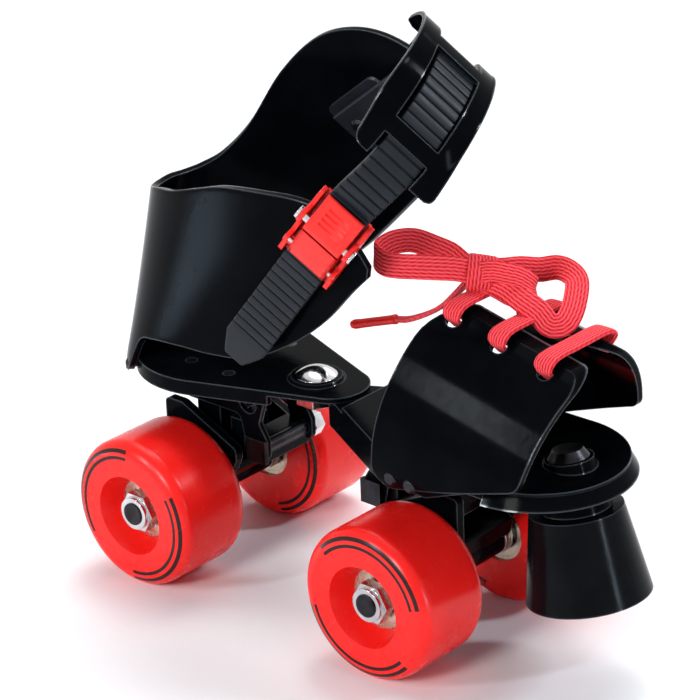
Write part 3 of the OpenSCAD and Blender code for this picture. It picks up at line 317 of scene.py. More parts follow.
# Centre of each wheel and the angle at which its print starts
wheel_places = {
    "wheel_front_right": ((FRONT_X * MM, 0.0, WHEEL_Z * MM), -20.0),
    "wheel_front_left": ((FRONT_X * MM, 0.0, WHEEL_Z * MM), 100.0),
    "wheel_rear_right": ((REAR_X * MM, 0.0, WHEEL_Z * MM), 55.0),
    "wheel_rear_left": ((REAR_X * MM, 0.0, WHEEL_Z * MM), 70.0),
}


def paint_over(obj, paint):
    """Gives an object one paint in place of what it wears."""
    if obj.material_slots:
        for place in obj.material_slots:
            place.material = paint.mat
    else:
        obj.data.materials.append(paint.mat)


for part in frame["record"]["subparts"]:
    node = frame["nodes"][part["node"]]
    if part["node"] in wheel_places:
        centre, start = wheel_places[part["node"]]
        paint_over(node, wheel_paint(part["node"].replace("_", " "), centre, start))
    else:
        paint_over(node, paints[part["material_slot"]])


# Helpers that turn meshes into pieces


def linked(name, bm):
    """The finished mesh as an object of the scene."""
    mesh = bpy.data.meshes.new(name)
    bm.to_mesh(mesh)
    bm.free()
    obj = bpy.data.objects.new(name, mesh)
    bpy.context.collection.objects.link(obj)
    return obj


def choose(obj):
    """Makes an object the active one and the only one selected."""
    bpy.ops.object.select_all(action="DESELECT")
    bpy.context.view_layer.objects.active = obj
    obj.select_set(True)


def smooth(obj, angle):
    choose(obj)
    bpy.ops.object.shade_smooth_by_angle(angle=math.radians(angle))
    obj.select_set(False)


def finish_with(obj, kind, **settings):
    """Adds a modifier and applies it."""
    choose(obj)
    modifier = obj.modifiers.new(kind.lower(), kind)
    for key, value in settings.items():
        setattr(modifier, key, value)
    bpy.ops.object.modifier_apply(modifier=modifier.name)
    obj.select_set(False)


def round_edges(obj, width, segments, angle):
    finish_with(obj, "BEVEL", width=width * MM, segments=segments, limit_method="ANGLE",
                angle_limit=math.radians(angle))


def dress(obj, slot, body, node):
    """Paints a piece, sets it on a body and lets it stand for a CAD node."""
    paint_over(obj, paints[slot])
    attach(obj, body)
    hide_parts(node)


def new_piece(name, bm, slot, body, node, angle):
    """The finished mesh as a dressed piece, smooth up to an angle."""
    bmesh.ops.remove_doubles(bm, verts=bm.verts, dist=1e-6)
    bmesh.ops.recalc_face_normals(bm, faces=bm.faces)
    obj = linked(name, bm)
    smooth(obj, angle)
    dress(obj, slot, body, node)
    return obj


def loft(bm, rings):
    """Faces between rings of as many points, and a cap at each end."""
    for a, b in zip(rings, rings[1:]):
        for k in range(len(a)):
            n = (k + 1) % len(a)
            bm.faces.new((a[k], a[n], b[n], b[k]))
    bm.faces.new(rings[0][::-1])
    bm.faces.new(rings[-1])


def ease(x, low, high):
    """Smooth step from 0 at low to 1 at high."""
    t = max(0.0, min(1.0, (x - low) / (high - low)))
    return t * t * (3 - 2 * t)


# Lace: bow loops, tail and tip as points from the front axle and the deck, in millimetres

LACE_W = 8.0
FRONT_LOOP_W = 6.8
TAIL_W = 5.6
LACE_T = 1.7
LACE_STEP = 1.2
RIBBON_SIDES = 16
FLAT_FACES = 0.45
ROUND_EDGES = 0.8
bow_left = [
    (9, -4, 59), (7, -9, 61), (3, -14, 62), (-2, -17, 62), (-7, -20, 62), (-12, -21, 62), (-17, -19, 63),
    (-19, -15, 63), (-18, -9, 64), (-14, -4, 64), (-8, -1, 62), (-2, 1, 60), (5, 0, 58),
]
bow_front = [
    (12, -3, 59), (17, -1, 60), (22, 0, 60), (26, 2, 59), (29, 4, 56),
    (28, 4, 53), (26, 4, 51), (21, 3, 51), (17, 0, 54), (13, -2, 56),
]
bow_right = [
    (9, 2, 58), (12, 8, 56), (15, 15, 55), (19, 20, 54), (24, 23, 55), (30, 22, 55), (35, 19, 54),
    (39, 13, 51), (41, 8, 48), (41, 4, 46), (38, 1, 46), (34, 0, 50), (28, -1, 53), (21, 0, 55), (14, 0, 56),
]
tail_route = [(6, 0, 54), (0, 2, 48), (-7, 3, 41), (-14, 3, 36), (-22, 2, 32), (-27, 1, 31)]
tip_route = [(-27, 1, 31), (-36, 0, 28), (-45, -1, 25)]


def smooth_line(points, step):
    """Points every step along the smooth line through the given ones."""
    p = [Vector(q) for q in points]
    p = [p[0] * 2 - p[1]] + p + [p[-1] * 2 - p[-2]]
    parts = 24
    fine = []
    for i in range(1, len(p) - 2):
        a, b, c, d = p[i - 1 : i + 3]
        for k in range(parts):
            t = k / parts
            fine.append(
                0.5 * (2 * b + (c - a) * t + (2 * a - 5 * b + 4 * c - d) * t * t
                       + (3 * b - 3 * c + d - a) * t * t * t)
            )
    fine.append(p[-2])
    run = [0.0]
    for a, b in zip(fine, fine[1:]):
        run.append(run[-1] + (b - a).length)
    count = max(4, round(run[-1] / step))
    line = []
    for i in range(count + 1):
        want = run[-1] * i / count
        j = next((n for n in range(1, len(run)) if run[n] >= want - 1e-9), len(run) - 1)
        share = (want - run[j - 1]) / max(1e-9, run[j] - run[j - 1])
        line.append(fine[j - 1].lerp(fine[j], share))
    return line, run[-1]


def flat_oval(k):
    """Shares of the half width and the half thickness at a corner of the lace's section."""
    a = 2 * math.pi * k / RIBBON_SIDES
    c, d = math.cos(a), math.sin(a)
    return math.copysign(abs(c) ** FLAT_FACES, c), math.copysign(abs(d) ** ROUND_EDGES, d)


def ribbon(name, points, width, hint, facing=False, swell=0.0):
    """Flat lace swept along a line. hint is the width's direction, or the way its face looks."""
    line, length = smooth_line(points, LACE_STEP)
    bm = bmesh.new()
    uv = bm.loops.layers.uv.new("UVMap")
    rings = []
    for i, p in enumerate(line):
        t = (line[min(i + 1, len(line) - 1)] - line[max(i - 1, 0)]).normalized()
        h = Vector(hint)
        wide = h.cross(t) if facing else h - t * h.dot(t)
        wide.normalize()
        deep = t.cross(wide).normalized()
        s = i / (len(line) - 1)
        w = width(s) if callable(width) else width
        w *= 1.0 + swell * math.sin(s * 9.0)
        ring = []
        for k in range(RIBBON_SIDES):
            x, y = flat_oval(k)
            ring.append(bm.verts.new((p + wide * (x * w / 2) + deep * (y * LACE_T / 2)) * MM))
        rings.append(ring)
    for i in range(len(rings) - 1):
        for k in range(RIBBON_SIDES):
            n = (k + 1) % RIBBON_SIDES
            face = bm.faces.new((rings[i][k], rings[i][n], rings[i + 1][n], rings[i + 1][k]))
            spots = ((k, i), (k + 1, i), (k + 1, i + 1), (k, i + 1))
            for loop, (m, r) in zip(face.loops, spots):
                loop[uv].uv = (0.5 + 0.5 * flat_oval(m)[0], length * MM * r / (len(rings) - 1))
    for ring in (rings[0][::-1], rings[-1]):
        bm.faces.new(ring)
    bmesh.ops.recalc_face_normals(bm, faces=bm.faces)
    obj = linked(name, bm)
    for polygon in obj.data.polygons:
        polygon.use_smooth = True
    return obj, [p * MM for p in line], length * MM


def on_toe(points):
    """Points of the toe section's frame in the part's frame."""
    return [(FRONT_X + x, y, DECK_Z + z) for x, y, z in points]


def lay_lace(name, route, node, width, hint, facing=False, swell=0.0):
    obj, line, length = ribbon(name, route, width, hint, facing, swell)
    dress(obj, "red_lace", "toe_section", node)
    return obj, line, length


LOOSE_SWELL = 0.02
for which, route, width, hint, facing in (
    ("left", bow_left, LACE_W, view_up, False),
    ("right", bow_right, LACE_W, view_back, True),
    ("front", bow_front, FRONT_LOOP_W, view_up, False),
):
    loop, line, length = lay_lace(
        f"bow_loop_{which}", on_toe(route), f"lace_loop_{which}", width, hint, facing, LOOSE_SWELL)


# Frames of the strap and of its arch over the ankle, as in the part's source


def turned(x, y, z):
    """Turns about X, Y and Z in that order, in degrees."""
    turns = [Matrix.Rotation(math.radians(a), 4, axis) for a, axis in ((z, "Z"), (y, "Y"), (x, "X"))]
    return turns[0] @ turns[1] @ turns[2]


ARCH_R = 34.0
ARCH_FROM = 13.5
ARCH_END = 170.5
ARCH_YAW = -11
ARCH_TWIST = 12
STRAP_W = 15.5
STRAP_T = 2.5
STRAP_DROP = 50.0
STRAP_TURN = 12
STRAP_TILT = 97
STRAP_SLOPE = 52
strap_origin = (REAR_X + 91.0, -39.6, DECK_Z + 78.5)
strap_at = (
    Matrix.Translation(strap_origin) @ turned(0, 0, STRAP_TURN) @ turned(STRAP_TILT, 0, 0)
    @ turned(0, 0, STRAP_SLOPE)
)
arch_at = (
    strap_at @ Matrix.Translation((ARCH_FROM, 0, 0)) @ turned(0, 0, ARCH_YAW) @ turned(ARCH_TWIST, 0, 0)
    @ Matrix.Translation((0, 0, -ARCH_R))
)


def on_arch(a, y, r):
    """Point at an angle round the arch, a place across it and a radius, in millimetres."""
    a = math.radians(a)
    return arch_at @ Vector((r * math.sin(a), y, r * math.cos(a)))


def smooth_table(table, k):
    """Smooth value at k of a table of (place, value) pairs."""
    i = max(j for j in range(len(table) - 1) if table[j][0] <= k)
    a, b, c, d = table[max(i - 1, 0)], table[i], table[i + 1], table[min(i + 2, len(table) - 1)]
    s = (k - b[0]) / (c[0] - b[0])
    mb = 0.0 if i == 0 else (c[1] - a[1]) / (c[0] - a[0]) * (c[0] - b[0])
    mc = c[1] - b[1] if i == len(table) - 2 else (d[1] - b[1]) / (d[0] - b[0]) * (c[0] - b[0])
    s2, s3 = s * s, s * s * s
    return (2 * s3 - 3 * s2 + 1) * b[1] + (s3 - 2 * s2 + s) * mb + (3 * s2 - 2 * s3) * c[1] + (s3 - s2) * mc


# Heel cup: its upper and lower lines along each wing, by shares of the wing's length

CUP_T = 2.5
CUP_R = 33.95
CUP_BACK = 34.674
CUP_LEAN = 0.204
CUP_SKIRT = 6.0
BACK_H = 60.0
SPREAD_H = 76.0
DEEPER = 46.0
TOE_IN = 0.0017
TOE_IN_FROM = 60.0
right_top = [
    (0, 0), (0.1, 0), (0.2, 0.05), (0.3, 0.17), (0.4, 0.31), (0.5, 0.44), (0.6, 0.65),
    (0.7, 0.87), (0.8, 0.98), (0.88, 1), (0.94, 0.85), (0.98, 0.46), (1, 0.2),
]
left_top = [
    (0, 0), (0.1, 0), (0.2, 0.03), (0.3, 0.11), (0.4, 0.31), (0.5, 0.67), (0.6, 0.91),
    (0.7, 1), (0.8, 0.98), (0.9, 0.86), (0.96, 0.7), (1, 0.45),
]
right_low = [
    (0, -6), (0.3, -6), (0.36, -3), (0.42, 10), (0.5, 14), (0.6, 16), (0.7, 17),
    (0.8, 20.5), (0.88, 30), (0.94, 42), (0.98, 55), (1, 61),
]
left_low = [
    (0, -6), (0.3, -6), (0.36, -3), (0.42, 10), (0.5, 14), (0.6, 17), (0.7, 23),
    (0.8, 36), (0.9, 57), (0.96, 73), (1, 87),
]
# Lines, height, length and outward spread of the wing on each side
cup_sides = {
    -1: (right_top, right_low, 84.5, 120.0, 6.2),
    1: (left_top, left_low, 117.0, 102.0, 1.2),
}


def cup_point(side, k, v):
    """Place on the cup's outer face: k is the share of the wing's length, v of its height there."""
    top_line, low_line, wing_h, wing_len, spread = cup_sides[side]
    low = smooth_table(low_line, k)
    top = BACK_H + (wing_h - BACK_H) * smooth_table(top_line, k)
    z = low + (top - low) * v
    d = wing_len * k * k
    depth = CUP_R + DEEPER * max(0.0, z) / SPREAD_H
    half = CUP_R + spread * max(0.0, z) / SPREAD_H
    e = min(1.0, d / depth)
    y = half * math.sqrt(1 - (1 - e) ** 2) - TOE_IN * max(0.0, d - TOE_IN_FROM) ** 2
    return Vector((REAR_X - CUP_BACK + CUP_LEAN * (z + CUP_SKIRT) + d, side * y, DECK_Z + z)) * MM


bpy.ops.mesh.primitive_grid_add(x_subdivisions=180, y_subdivisions=28, size=2.0)
heel_cup = bpy.context.object
heel_cup.name = "heel_cup_shell"
for vertex in heel_cup.data.vertices:
    along, up = vertex.co.x, (vertex.co.y + 1.0) / 2.0
    vertex.co = cup_point(-1 if along < 0 else 1, min(1.0, abs(along)), min(1.0, up))
bpy.ops.object.mode_set(mode="EDIT")
bpy.ops.mesh.select_all(action="SELECT")
bpy.ops.mesh.flip_normals()
bpy.ops.object.mode_set(mode="OBJECT")
finish_with(heel_cup, "SOLIDIFY", thickness=CUP_T * MM, offset=-1.0, use_even_offset=True)
round_edges(heel_cup, 0.7, 3, 50)
smooth(heel_cup, 40)
dress(heel_cup, "black_pvc", "heel_section", "heel_cup")


# Ankle pad: its middle, half width and edges, and the strap's drift under it, by angles round the arch

pad_middle = [(20, -1.6), (30, -0.6), (43, 0.9), (60, 2.7), (90, 3.6), (120, 4.2), (170, 4.2)]
pad_half = [(20, 16.0), (30, 16.4), (43, 16.7), (60, 16.9), (90, 16.1), (120, 15.5), (170, 15.0)]
left_edge = [(20, 36.6), (30, 36.7), (60, 37.2), (90, 37.3), (110, 37.5), (125, 37.6), (170, 37.2)]
right_edge = [(20, 36.4), (30, 36.6), (60, 36.3), (90, 36.5), (110, 37.2), (125, 37.6), (170, 37.0)]
strap_drift = [(0, 0.0), (25, 0.0), (40, 0.2), (60, 1.1), (100, 2.6), (130, 2.8), (150, 1.5), (172, 0.0)]


def two_skins(bm, rows, cols, place, present):
    """Closed sheet: place gives the two faces' points, present says which cells of the grid are there."""
    points = {}

    def corner(layer, i, j):
        if (layer, i, j) not in points:
            points[layer, i, j] = bm.verts.new(place(layer, i, j) * MM)
        return points[layer, i, j]

    for i in range(rows):
        for j in range(cols):
            if not present(i, j):
                continue
            ring = ((i, j), (i + 1, j), (i + 1, j + 1), (i, j + 1))
            for layer in (0, 1):
                bm.faces.new([corner(layer, *c) for c in ring])
            beyond = ((i, j - 1), (i + 1, j), (i, j + 1), (i - 1, j))
            for k, (m, n) in enumerate(beyond):
                if 0 <= m < rows and 0 <= n < cols and present(m, n):
                    continue
                c, d = ring[k], ring[(k + 1) % 4]
                bm.faces.new((corner(0, *c), corner(0, *d), corner(1, *d), corner(1, *c)))


PAD_FROM, PAD_TO = 30.0, 157.0
LOW_LIP = (43.0, 52.3)
HIGH_LIP = (101.0, 111.0)
PAD_R = 37.6
PAD_T = 1.45
PAD_BEVEL = 5.0
CORNER_CUT = 2.6
SLOT_SHIFT = 0.7
SLOT_LEFT, SLOT_RIGHT = 8.9, 8.6
WING = 12
pad_stops = [PAD_FROM, *LOW_LIP, *HIGH_LIP, PAD_TO]
pad_rows = []
for a0, a1, n in zip(pad_stops, pad_stops[1:], (10, 6, 28, 6, 24)):
    pad_rows += [a0 + (a1 - a0) * i / n for i in range(n)]
pad_rows.append(PAD_TO)


def pad_place(layer, i, j):
    """The pad's sheet: two wings that curl at their outer edges and the lips over the strap between them."""
    a = pad_rows[i]
    middle, half = smooth_table(pad_middle, a), smooth_table(pad_half, a)
    for end in (a - PAD_FROM, PAD_TO - a):
        half -= CORNER_CUT * (1 - math.sqrt(1 - max(0.0, 1 - end / PAD_BEVEL) ** 2))
    slot = smooth_table(strap_drift, a) + SLOT_SHIFT
    if j <= WING:
        share = 1 - j / WING
        y = slot + SLOT_LEFT + (middle + half - slot - SLOT_LEFT) * share
        edge = smooth_table(left_edge, a)
    elif j >= 2 * WING:
        share = j / WING - 2
        y = slot - SLOT_RIGHT + (middle - half - slot + SLOT_RIGHT) * share
        edge = smooth_table(right_edge, a)
    else:
        share = 0.0
        y = slot + SLOT_LEFT - (SLOT_LEFT + SLOT_RIGHT) * (j / WING - 1)
        edge = PAD_R
    r = PAD_R + (edge - PAD_R) * share ** 1.6 + 0.3 * ease(share, 0.88, 1.0)
    return on_arch(a, y, r - PAD_T * layer)


def pad_present(i, j):
    """All of the sheet but the strap's slot between the lips."""
    a = (pad_rows[i] + pad_rows[i + 1]) / 2
    lip = any(low < a < high for low, high in (LOW_LIP, HIGH_LIP))
    return lip or not WING <= j < 2 * WING


bm = bmesh.new()
two_skins(bm, len(pad_rows) - 1, 3 * WING, pad_place, pad_present)
base_cols = (-11.2, -8.5, -8.4, 0.0, 10.1, 10.2, 12.6)
BASE_FROM = 34.0
BASE_STEP = 2.0
BASE_ROWS = 60
BASE_IN_R, CHANNEL_R, BASE_OUT_R = 29.6, 32.4, 36.4


def base_place(layer, i, j):
    """The pad's base under the strap, with a channel that the strap runs in."""
    a = BASE_FROM + BASE_STEP * i
    r = BASE_IN_R if layer else CHANNEL_R if 2 <= j <= 4 else BASE_OUT_R
    return on_arch(a, smooth_table(strap_drift, a) + base_cols[j], r)


two_skins(bm, BASE_ROWS, len(base_cols) - 1, base_place, lambda i, j: True)
ankle_pad = new_piece("ankle_pad_moulding", bm, "black_pvc", "heel_section", "ankle_pad", 40)
round_edges(ankle_pad, 0.45, 2, 55)


# Buckle: low rails with ears for the pins, a cover over the pawl and a grooved lever

PIN_X, PIN_Z = 1.0, 5.0
FLOOR_LOW, FLOOR_TOP = -2.85, -1.5
RAIL_IN, RAIL_OUT = 8.8, 10.4
ROOF_RIGHT, ROOF_LEFT = -7.9, 6.9
CHEEK_T = 1.0


def on_strap(x, y, z):
    return strap_at @ Vector((x, y, z)) * MM


def slab(bm, outline, y0, y1):
    """Outline in the strap's side view, drawn out across the strap."""
    loft(bm, [[bm.verts.new(on_strap(x, y, z)) for x, z in outline] for y in (y0, y1)])


def round_pin(radius, from_a, to_a, count):
    """Points on a circle round the lever's pin, in the strap's side view."""
    steps = [math.radians(from_a + (to_a - from_a) * i / count) for i in range(count + 1)]
    return [(PIN_X + radius * math.cos(a), PIN_Z + radius * math.sin(a)) for a in steps]


rail = [
    (-20.0, FLOOR_LOW), (9.5, FLOOR_LOW), (10.6, -1.6), (10.2, 0.6), (8.6, 1.9), (4.6, 2.4), (3.9, 5.2),
    (3.0, 6.8), (1.0, 7.5), (-1.0, 6.8), (-1.9, 5.2), (-2.8, 2.4), (-9.2, 2.3), (-9.8, 4.0), (-10.5, 5.0),
    (-12.5, 5.0), (-13.2, 4.0), (-13.9, 2.2), (-18.8, 2.0), (-20.2, 0.8),
]
roof_top = [(-14.6, 2.4), (-14.5, 4.4), (-14.1, 5.4), (-13.3, 6.1), (-11.0, 6.75), (-1.05, 8.3)]
hollow = round_pin(3.85, 124.0, 200.0, 8)
roof_under = [(-4.0, 6.3), (-11.0, 5.75), (-13.0, 5.25), (-13.8, 4.3), (-13.9, 2.4)]
bm = bmesh.new()
for side in (-1, 1):
    slab(bm, rail, side * RAIL_IN, side * RAIL_OUT)
    slab(bm, [(-14.2, 2.15), (-10.4, 2.15), (-10.4, 2.9), (-14.2, 2.9)], side * 6.6, side * 9.0)
slab(bm, [(-20.0, FLOOR_LOW), (10.0, FLOOR_LOW), (10.0, FLOOR_TOP), (-20.0, FLOOR_TOP)], -9.0, 9.0)
slab(bm, roof_top + hollow[:5] + roof_under, ROOF_RIGHT, ROOF_LEFT)
for y in (ROOF_RIGHT, ROOF_LEFT - CHEEK_T):
    slab(bm, roof_top + hollow + [(-2.7, 2.4)], y, y + CHEEK_T)
buckle_base = new_piece("buckle_base_moulding", bm, "red_plastic", "heel_section", "buckle_base", 35)
round_edges(buckle_base, 0.35, 3, 40)

LEVER_SHIFT = -0.5
GROOVE_HALF = 4.3
GRIP_CUT = 0.65
lip_x, lip_z = 13.3, 4.9
grip = [(12.7, 3.2, 0), (13.5, 3.7, 0), (13.6, 4.4, 0), (lip_x, lip_z, 0)]
slope = Vector((2.0 - lip_x, 8.36 - lip_z)).normalized()
for start in (2.2, 4.2, 6.2, 8.2):
    for step, deep in ((0.0, 0), (0.2, 1), (0.9, 1), (1.1, 0)):
        grip.append((lip_x + slope.x * (start + step), lip_z + slope.y * (start + step), deep))
grip += [(x, z, 0) for x, z in round_pin(3.5, 73.4, 122.0, 8) + round_pin(2.5, 128.0, 265.0, 14)]
grip.append((4.6, 2.8, 0))
bm = bmesh.new()
loops = []
for across in (-7.4, -4.4, -4.2, 4.2, 4.4, 7.4):
    cut = GRIP_CUT if abs(across) < GROOVE_HALF else 0.0
    loops.append([
        bm.verts.new(on_strap(x + slope.y * -cut * deep, across + LEVER_SHIFT, z + slope.x * cut * deep))
        for x, z, deep in grip
    ])
loft(bm, loops)
lever = new_piece("buckle_lever_grip", bm, "red_plastic", "buckle_lever_body", "buckle_lever", 30)
round_edges(lever, 0.3, 2, 45)


# Ankle strap


def strap_frame(s):
    """Place and axes of the strap's middle at a length s from the buckle end of its frame."""
    if s <= ARCH_FROM:
        place = strap_at @ Vector((s, 0, 0))
        basis = strap_at.to_3x3()
    else:
        a = math.degrees((s - ARCH_FROM) / ARCH_R)
        turn = arch_at @ turned(0, min(a, ARCH_END), 0)
        past = max(0.0, s - ARCH_FROM - math.radians(ARCH_END) * ARCH_R)
        place = turn @ Vector((past, smooth_table(strap_drift, min(a, ARCH_END)), ARCH_R))
        basis = turn.to_3x3()
    return place, basis


def strap_place(s):
    """The strap's frame with the turn between its straight part and its arch spread over a stretch."""
    low, high = 4.0, 24.0
    if not low < s < high:
        return strap_frame(s)
    p0, b0 = strap_frame(low)
    p1, b1 = strap_frame(high)
    t = (s - low) / (high - low)
    span = high - low
    t2, t3 = t * t, t * t * t
    place = (
        (2 * t3 - 3 * t2 + 1) * p0 + (t3 - 2 * t2 + t) * span * b0.col[0]
        + (3 * t2 - 2 * t3) * p1 + (t3 - t2) * span * b1.col[0]
    )
    basis = b0.to_quaternion().slerp(b1.to_quaternion(), t * t * (3 - 2 * t)).to_matrix()
    return place, basis


TAIL = 70.0
TIP = 9.0
RIB = 3.5
RIB_H = 0.75
RIB_SHOULDER = 0.14
GROOVE = 0.7
WALL = 0.12
NEAR = 0.05
CHAMFER = 0.4
BARE_DROP = 0.5
RIBS_END = 156.0
strap_end_s = ARCH_FROM + math.radians(ARCH_END) * ARCH_R + STRAP_DROP
rib_from, rib_to = -TAIL + 13.0, ARCH_FROM + math.radians(RIBS_END) * ARCH_R
marks = [-TAIL, -TAIL + 1.0]
s = -TAIL + 2.0
while s < rib_from:
    marks.append(s)
    s += 1.0
count = int((rib_to - rib_from) / RIB)
for i in range(count):
    s = rib_from + i * RIB
    marks += [s, s + WALL, s + GROOVE - WALL, s + GROOVE, s + GROOVE + 0.3, s + RIB / 2, s + RIB - 0.35]
s = rib_from + count * RIB
while s < strap_end_s:
    marks.append(s)
    s += 2.0
marks.append(strap_end_s)
bm = bmesh.new()
profiles = []
for s in marks:
    place, basis = strap_place(s)
    inside = (s - rib_from) % RIB if rib_from <= s < rib_from + count * RIB else None
    top = STRAP_T / 2 + RIB_H
    if inside is not None:
        deep = NEAR < inside < GROOVE - NEAR
        shoulder = inside < NEAR or abs(inside - GROOVE) < NEAR or inside > RIB - 0.3
        top -= RIB_H if deep else RIB_SHOULDER if shoulder else 0.0
    half = STRAP_W / 2
    from_tip = s + TAIL
    if from_tip < TIP:
        half *= 0.5 + 0.5 * (from_tip / TIP) ** 0.9
        top -= BARE_DROP * (1 - from_tip / TIP)
    if s > rib_from + count * RIB:
        top -= BARE_DROP
    low = -STRAP_T / 2
    section = (
        (-half, low + CHAMFER), (-half, top - CHAMFER), (-half + CHAMFER, top), (0.0, top),
        (half - CHAMFER, top), (half, top - CHAMFER), (half, low + CHAMFER), (half - CHAMFER, low),
        (0.0, low), (-half + CHAMFER, low),
    )
    profiles.append([bm.verts.new((place + basis @ Vector((0, y, z))) * MM) for y, z in section])
loft(bm, profiles)
new_piece("ankle_strap_ribbed", bm, "black_strap", "heel_section", "ankle_strap", 30)


# Lace knot, crossings, tail and tip

WRAP_POINTS = 15
WRAP_FLAT = 0.75
WRAP_PITCH = 0.16
knot = Vector((FRONT_X + 11.0, 0.0, DECK_Z + 57.0))
for number, (turn_by, lean, reach, size) in enumerate(((0.0, -0.15, 5.6, 8.2), (0.5, 0.35, 4.6, 6.4))):
    axis = (view_right + view_up * lean).normalized()
    side = view_back.cross(axis).normalized()
    ring = []
    for i in range(WRAP_POINTS):
        a = 2 * math.pi * i / 12 + turn_by
        ring.append(knot + (side * math.cos(a) * reach + axis.cross(side) * math.sin(a) * reach * WRAP_FLAT)
                    + axis * (i - 7) * WRAP_PITCH)
    lay_lace(f"lace_knot_wrap_{number + 1}", ring, "lace_knot", size, axis)

FLAP_R, SLOPE, HOLE_A = 46.0, math.radians(12.6), math.radians(59.0)
FLAP_BEHIND, FLAP_Y, FLAP_Z = 4.0, 7.87, 10.0
for number, u in enumerate((8.0, 27.0, 46.0)):
    x = u * math.cos(SLOPE) + FLAP_R * math.sin(HOLE_A) * math.sin(SLOPE) - FLAP_BEHIND
    z = FLAP_Z - u * math.sin(SLOPE) + FLAP_R * math.sin(HOLE_A) * math.cos(SLOPE)
    y = FLAP_R * math.cos(HOLE_A) - FLAP_Y
    half = [(y - 2.5, -2.5), (y + 1.0, 1.5), (y - 0.5, 4.2), (y - 5.0, 5.0), (y * 0.3, 5.0)]
    route = [(x, -a, z + b) for a, b in half] + [(x, a, z + b) for a, b in half[::-1]]
    lay_lace(
        f"lace_crossing_{number + 1}", on_toe(route), "lace_crossings",
        lambda s: 5.0 + 2.8 * ease(0.5 - abs(s - 0.5), 0.05, 0.16), (1.0, 0.0, 0.0))

tail, line_tail, long_tail = lay_lace(
    "lace_tail_ribbon", on_toe(tail_route), "lace_tail", lambda s: TAIL_W - 2.4 * ease(s, 0.8, 1.0),
    (0.0, 1.0, 0.0), swell=LOOSE_SWELL)
TIP_SIDES = 20
TIP_R = 1.75
tip_line, _ = smooth_line(on_toe(tip_route), 0.8)
bm = bmesh.new()
rings = []
for i, p in enumerate(tip_line):
    t = (tip_line[min(i + 1, len(tip_line) - 1)] - tip_line[max(i - 1, 0)]).normalized()
    side = t.orthogonal().normalized()
    s = i / (len(tip_line) - 1)
    radius = TIP_R - 0.18 * ease(s, 0.0, 0.12) + 0.12 * ease(s, 0.80, 0.86) - 0.45 * ease(s, 0.93, 1.0)
    angles = [2 * math.pi * k / TIP_SIDES for k in range(TIP_SIDES)]
    rings.append([
        bm.verts.new((p + (side * math.cos(a) + t.cross(side) * math.sin(a)) * radius) * MM) for a in angles
    ])
loft(bm, rings)
lace_tip = new_piece("lace_tip_sleeve", bm, "red_plastic", "toe_section", "lace_tip", 35)


# Floor, light and background

bpy.ops.mesh.primitive_plane_add(size=8.0, location=(0.0, 0.0, 0.0))
floor = bpy.context.object
floor.name = "floor"
sheet = Paint("white sheet", Roughness=0.5)
sheet.colour(sheet.ramp(sheet.noise(2.0), [(0.3, (0.90, 0.90, 0.91)), (0.7, (0.93, 0.93, 0.935))]))
# Far from the part, a ray from the camera or a mirror finds the floor as white as the background
reach = sheet.add("ShaderNodeVectorMath", operation="LENGTH")
sheet.link(sheet.at, reach.inputs[0])
FADE_FROM, FADE_TO = 0.40, 0.85
far = sheet.span(reach.outputs["Value"], 0.0, 1.0, FADE_FROM, FADE_TO)
path = sheet.add("ShaderNodeLightPath")
mirrored = sheet.math("MAXIMUM", path.outputs["Is Glossy Ray"], path.outputs["Is Transmission Ray"])
looking = sheet.math("MAXIMUM", path.outputs["Is Camera Ray"], mirrored)
glow = sheet.add("ShaderNodeEmission")
glow.inputs["Color"].default_value = (1.0, 1.0, 1.0, 1.0)
glow.inputs["Strength"].default_value = 1.0
blend = sheet.add("ShaderNodeMixShader")
sheet.link(sheet.math("MULTIPLY", far, looking), blend.inputs[0])
sheet.link(sheet.shader.outputs["BSDF"], blend.inputs[1])
sheet.link(glow.outputs["Emission"], blend.inputs[2])
sheet.link(blend.outputs["Shader"], sheet.nodes["Material Output"].inputs["Surface"])
paint_over(floor, sheet)

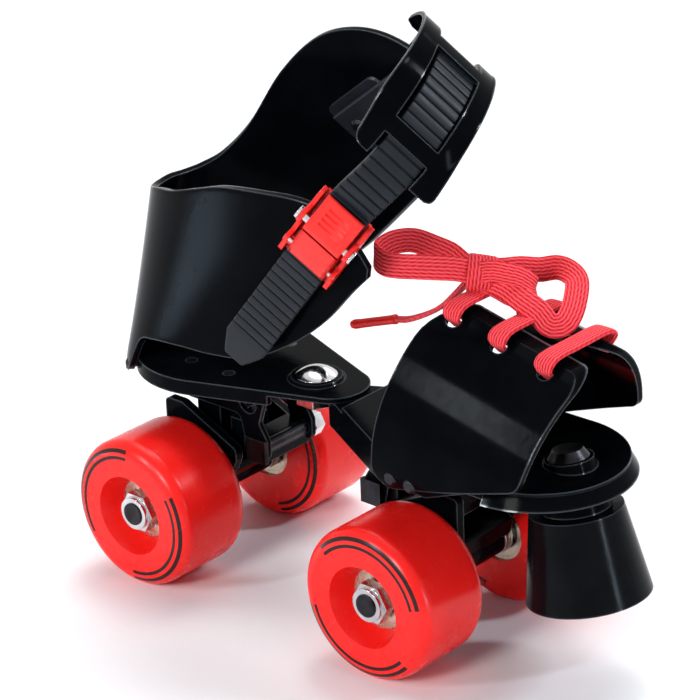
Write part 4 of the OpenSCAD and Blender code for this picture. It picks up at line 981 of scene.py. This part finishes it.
bpy.context.scene.world = bpy.data.worlds.new("studio")
world = bpy.context.scene.world
world.use_nodes = True
sky, join = world.node_tree.nodes, world.node_tree.links.new
backdrop = sky["Background"]
backdrop.inputs["Color"].default_value = (0.84, 0.90, 1.0, 1.0)
backdrop.inputs["Strength"].default_value = 0.12
white = sky.new("ShaderNodeBackground")
white.inputs["Color"].default_value = (1.0, 1.0, 1.0, 1.0)
white.inputs["Strength"].default_value = 1.0
seen = sky.new("ShaderNodeLightPath")
choice = sky.new("ShaderNodeMixShader")
any_of = seen.outputs["Is Camera Ray"]
for ray in ("Is Glossy Ray", "Is Transmission Ray"):
    either = sky.new("ShaderNodeMath")
    either.operation = "MAXIMUM"
    join(any_of, either.inputs[0])
    join(seen.outputs[ray], either.inputs[1])
    any_of = either.outputs["Value"]
join(any_of, choice.inputs[0])
join(backdrop.outputs["Background"], choice.inputs[1])
join(white.outputs["Background"], choice.inputs[2])
join(choice.outputs["Shader"], sky["World Output"].inputs["Surface"])


COOL = (0.84, 0.92, 1.0)


def soft_light(name, place, target, size, power, colour=(1.0, 1.0, 1.0)):
    """Area lamp at a place, turned to a target."""
    data = bpy.data.lights.new(name, "AREA")
    data.shape = "RECTANGLE"
    data.size, data.size_y = size
    data.energy = power
    data.color = colour
    lamp = bpy.data.objects.new(name, data)
    bpy.context.collection.objects.link(lamp)
    lamp.location = place
    aim = Vector(target) - Vector(place)
    lamp.rotation_euler = aim.to_track_quat("-Z", "Y").to_euler()
    return lamp


soft_light("overhead softbox", (-0.3, 0.5, 1.5), (0.0, 0.0, 0.05), (0.5, 0.5), 7.0, (1.0, 0.985, 0.97))
even = bpy.data.objects.new("even light", bpy.data.lights.new("even light", "SUN"))
even.data.energy = 1.4
even.data.angle = math.radians(50.0)
even.rotation_euler = Vector((0.2, -0.35, -1.0)).to_track_quat("-Z", "Y").to_euler()
bpy.context.collection.objects.link(even)
soft_light("left strip", (-0.55, -1.29, 0.8), (0.05, 0.0, 0.1), (0.08, 0.55), 8.0, COOL)
soft_light("front fill", (0.2, -1.5, 0.9), (0.0, 0.0, 0.06), (0.4, 0.4), 14.0)
soft_light("toe light", (1.0, 0.77, 1.0), (0.05, 0.0, 0.06), (0.14, 0.30), 9.0, COOL)
soft_light("low strip", (1.6, 0.05, 0.28), (0.1, 0.0, 0.05), (0.12, 0.4), 5.0, (0.70, 0.86, 1.0))
streak = soft_light(
    "floor streak", (-0.38, -0.21, 0.55), (-0.38, -0.21, 0.0), (0.05, 0.3), 1.0, (0.60, 0.80, 1.0))
streak.data.spread = math.radians(16.0)
streak.rotation_euler = (0.0, 0.0, math.radians(-72.0))
soft_light("back sweep", (-0.4, 1.8, 1.2), (-0.3, 0.5, 0.0), (1.2, 0.6), 5.0)

bpy.context.scene.view_settings.view_transform = "Standard"
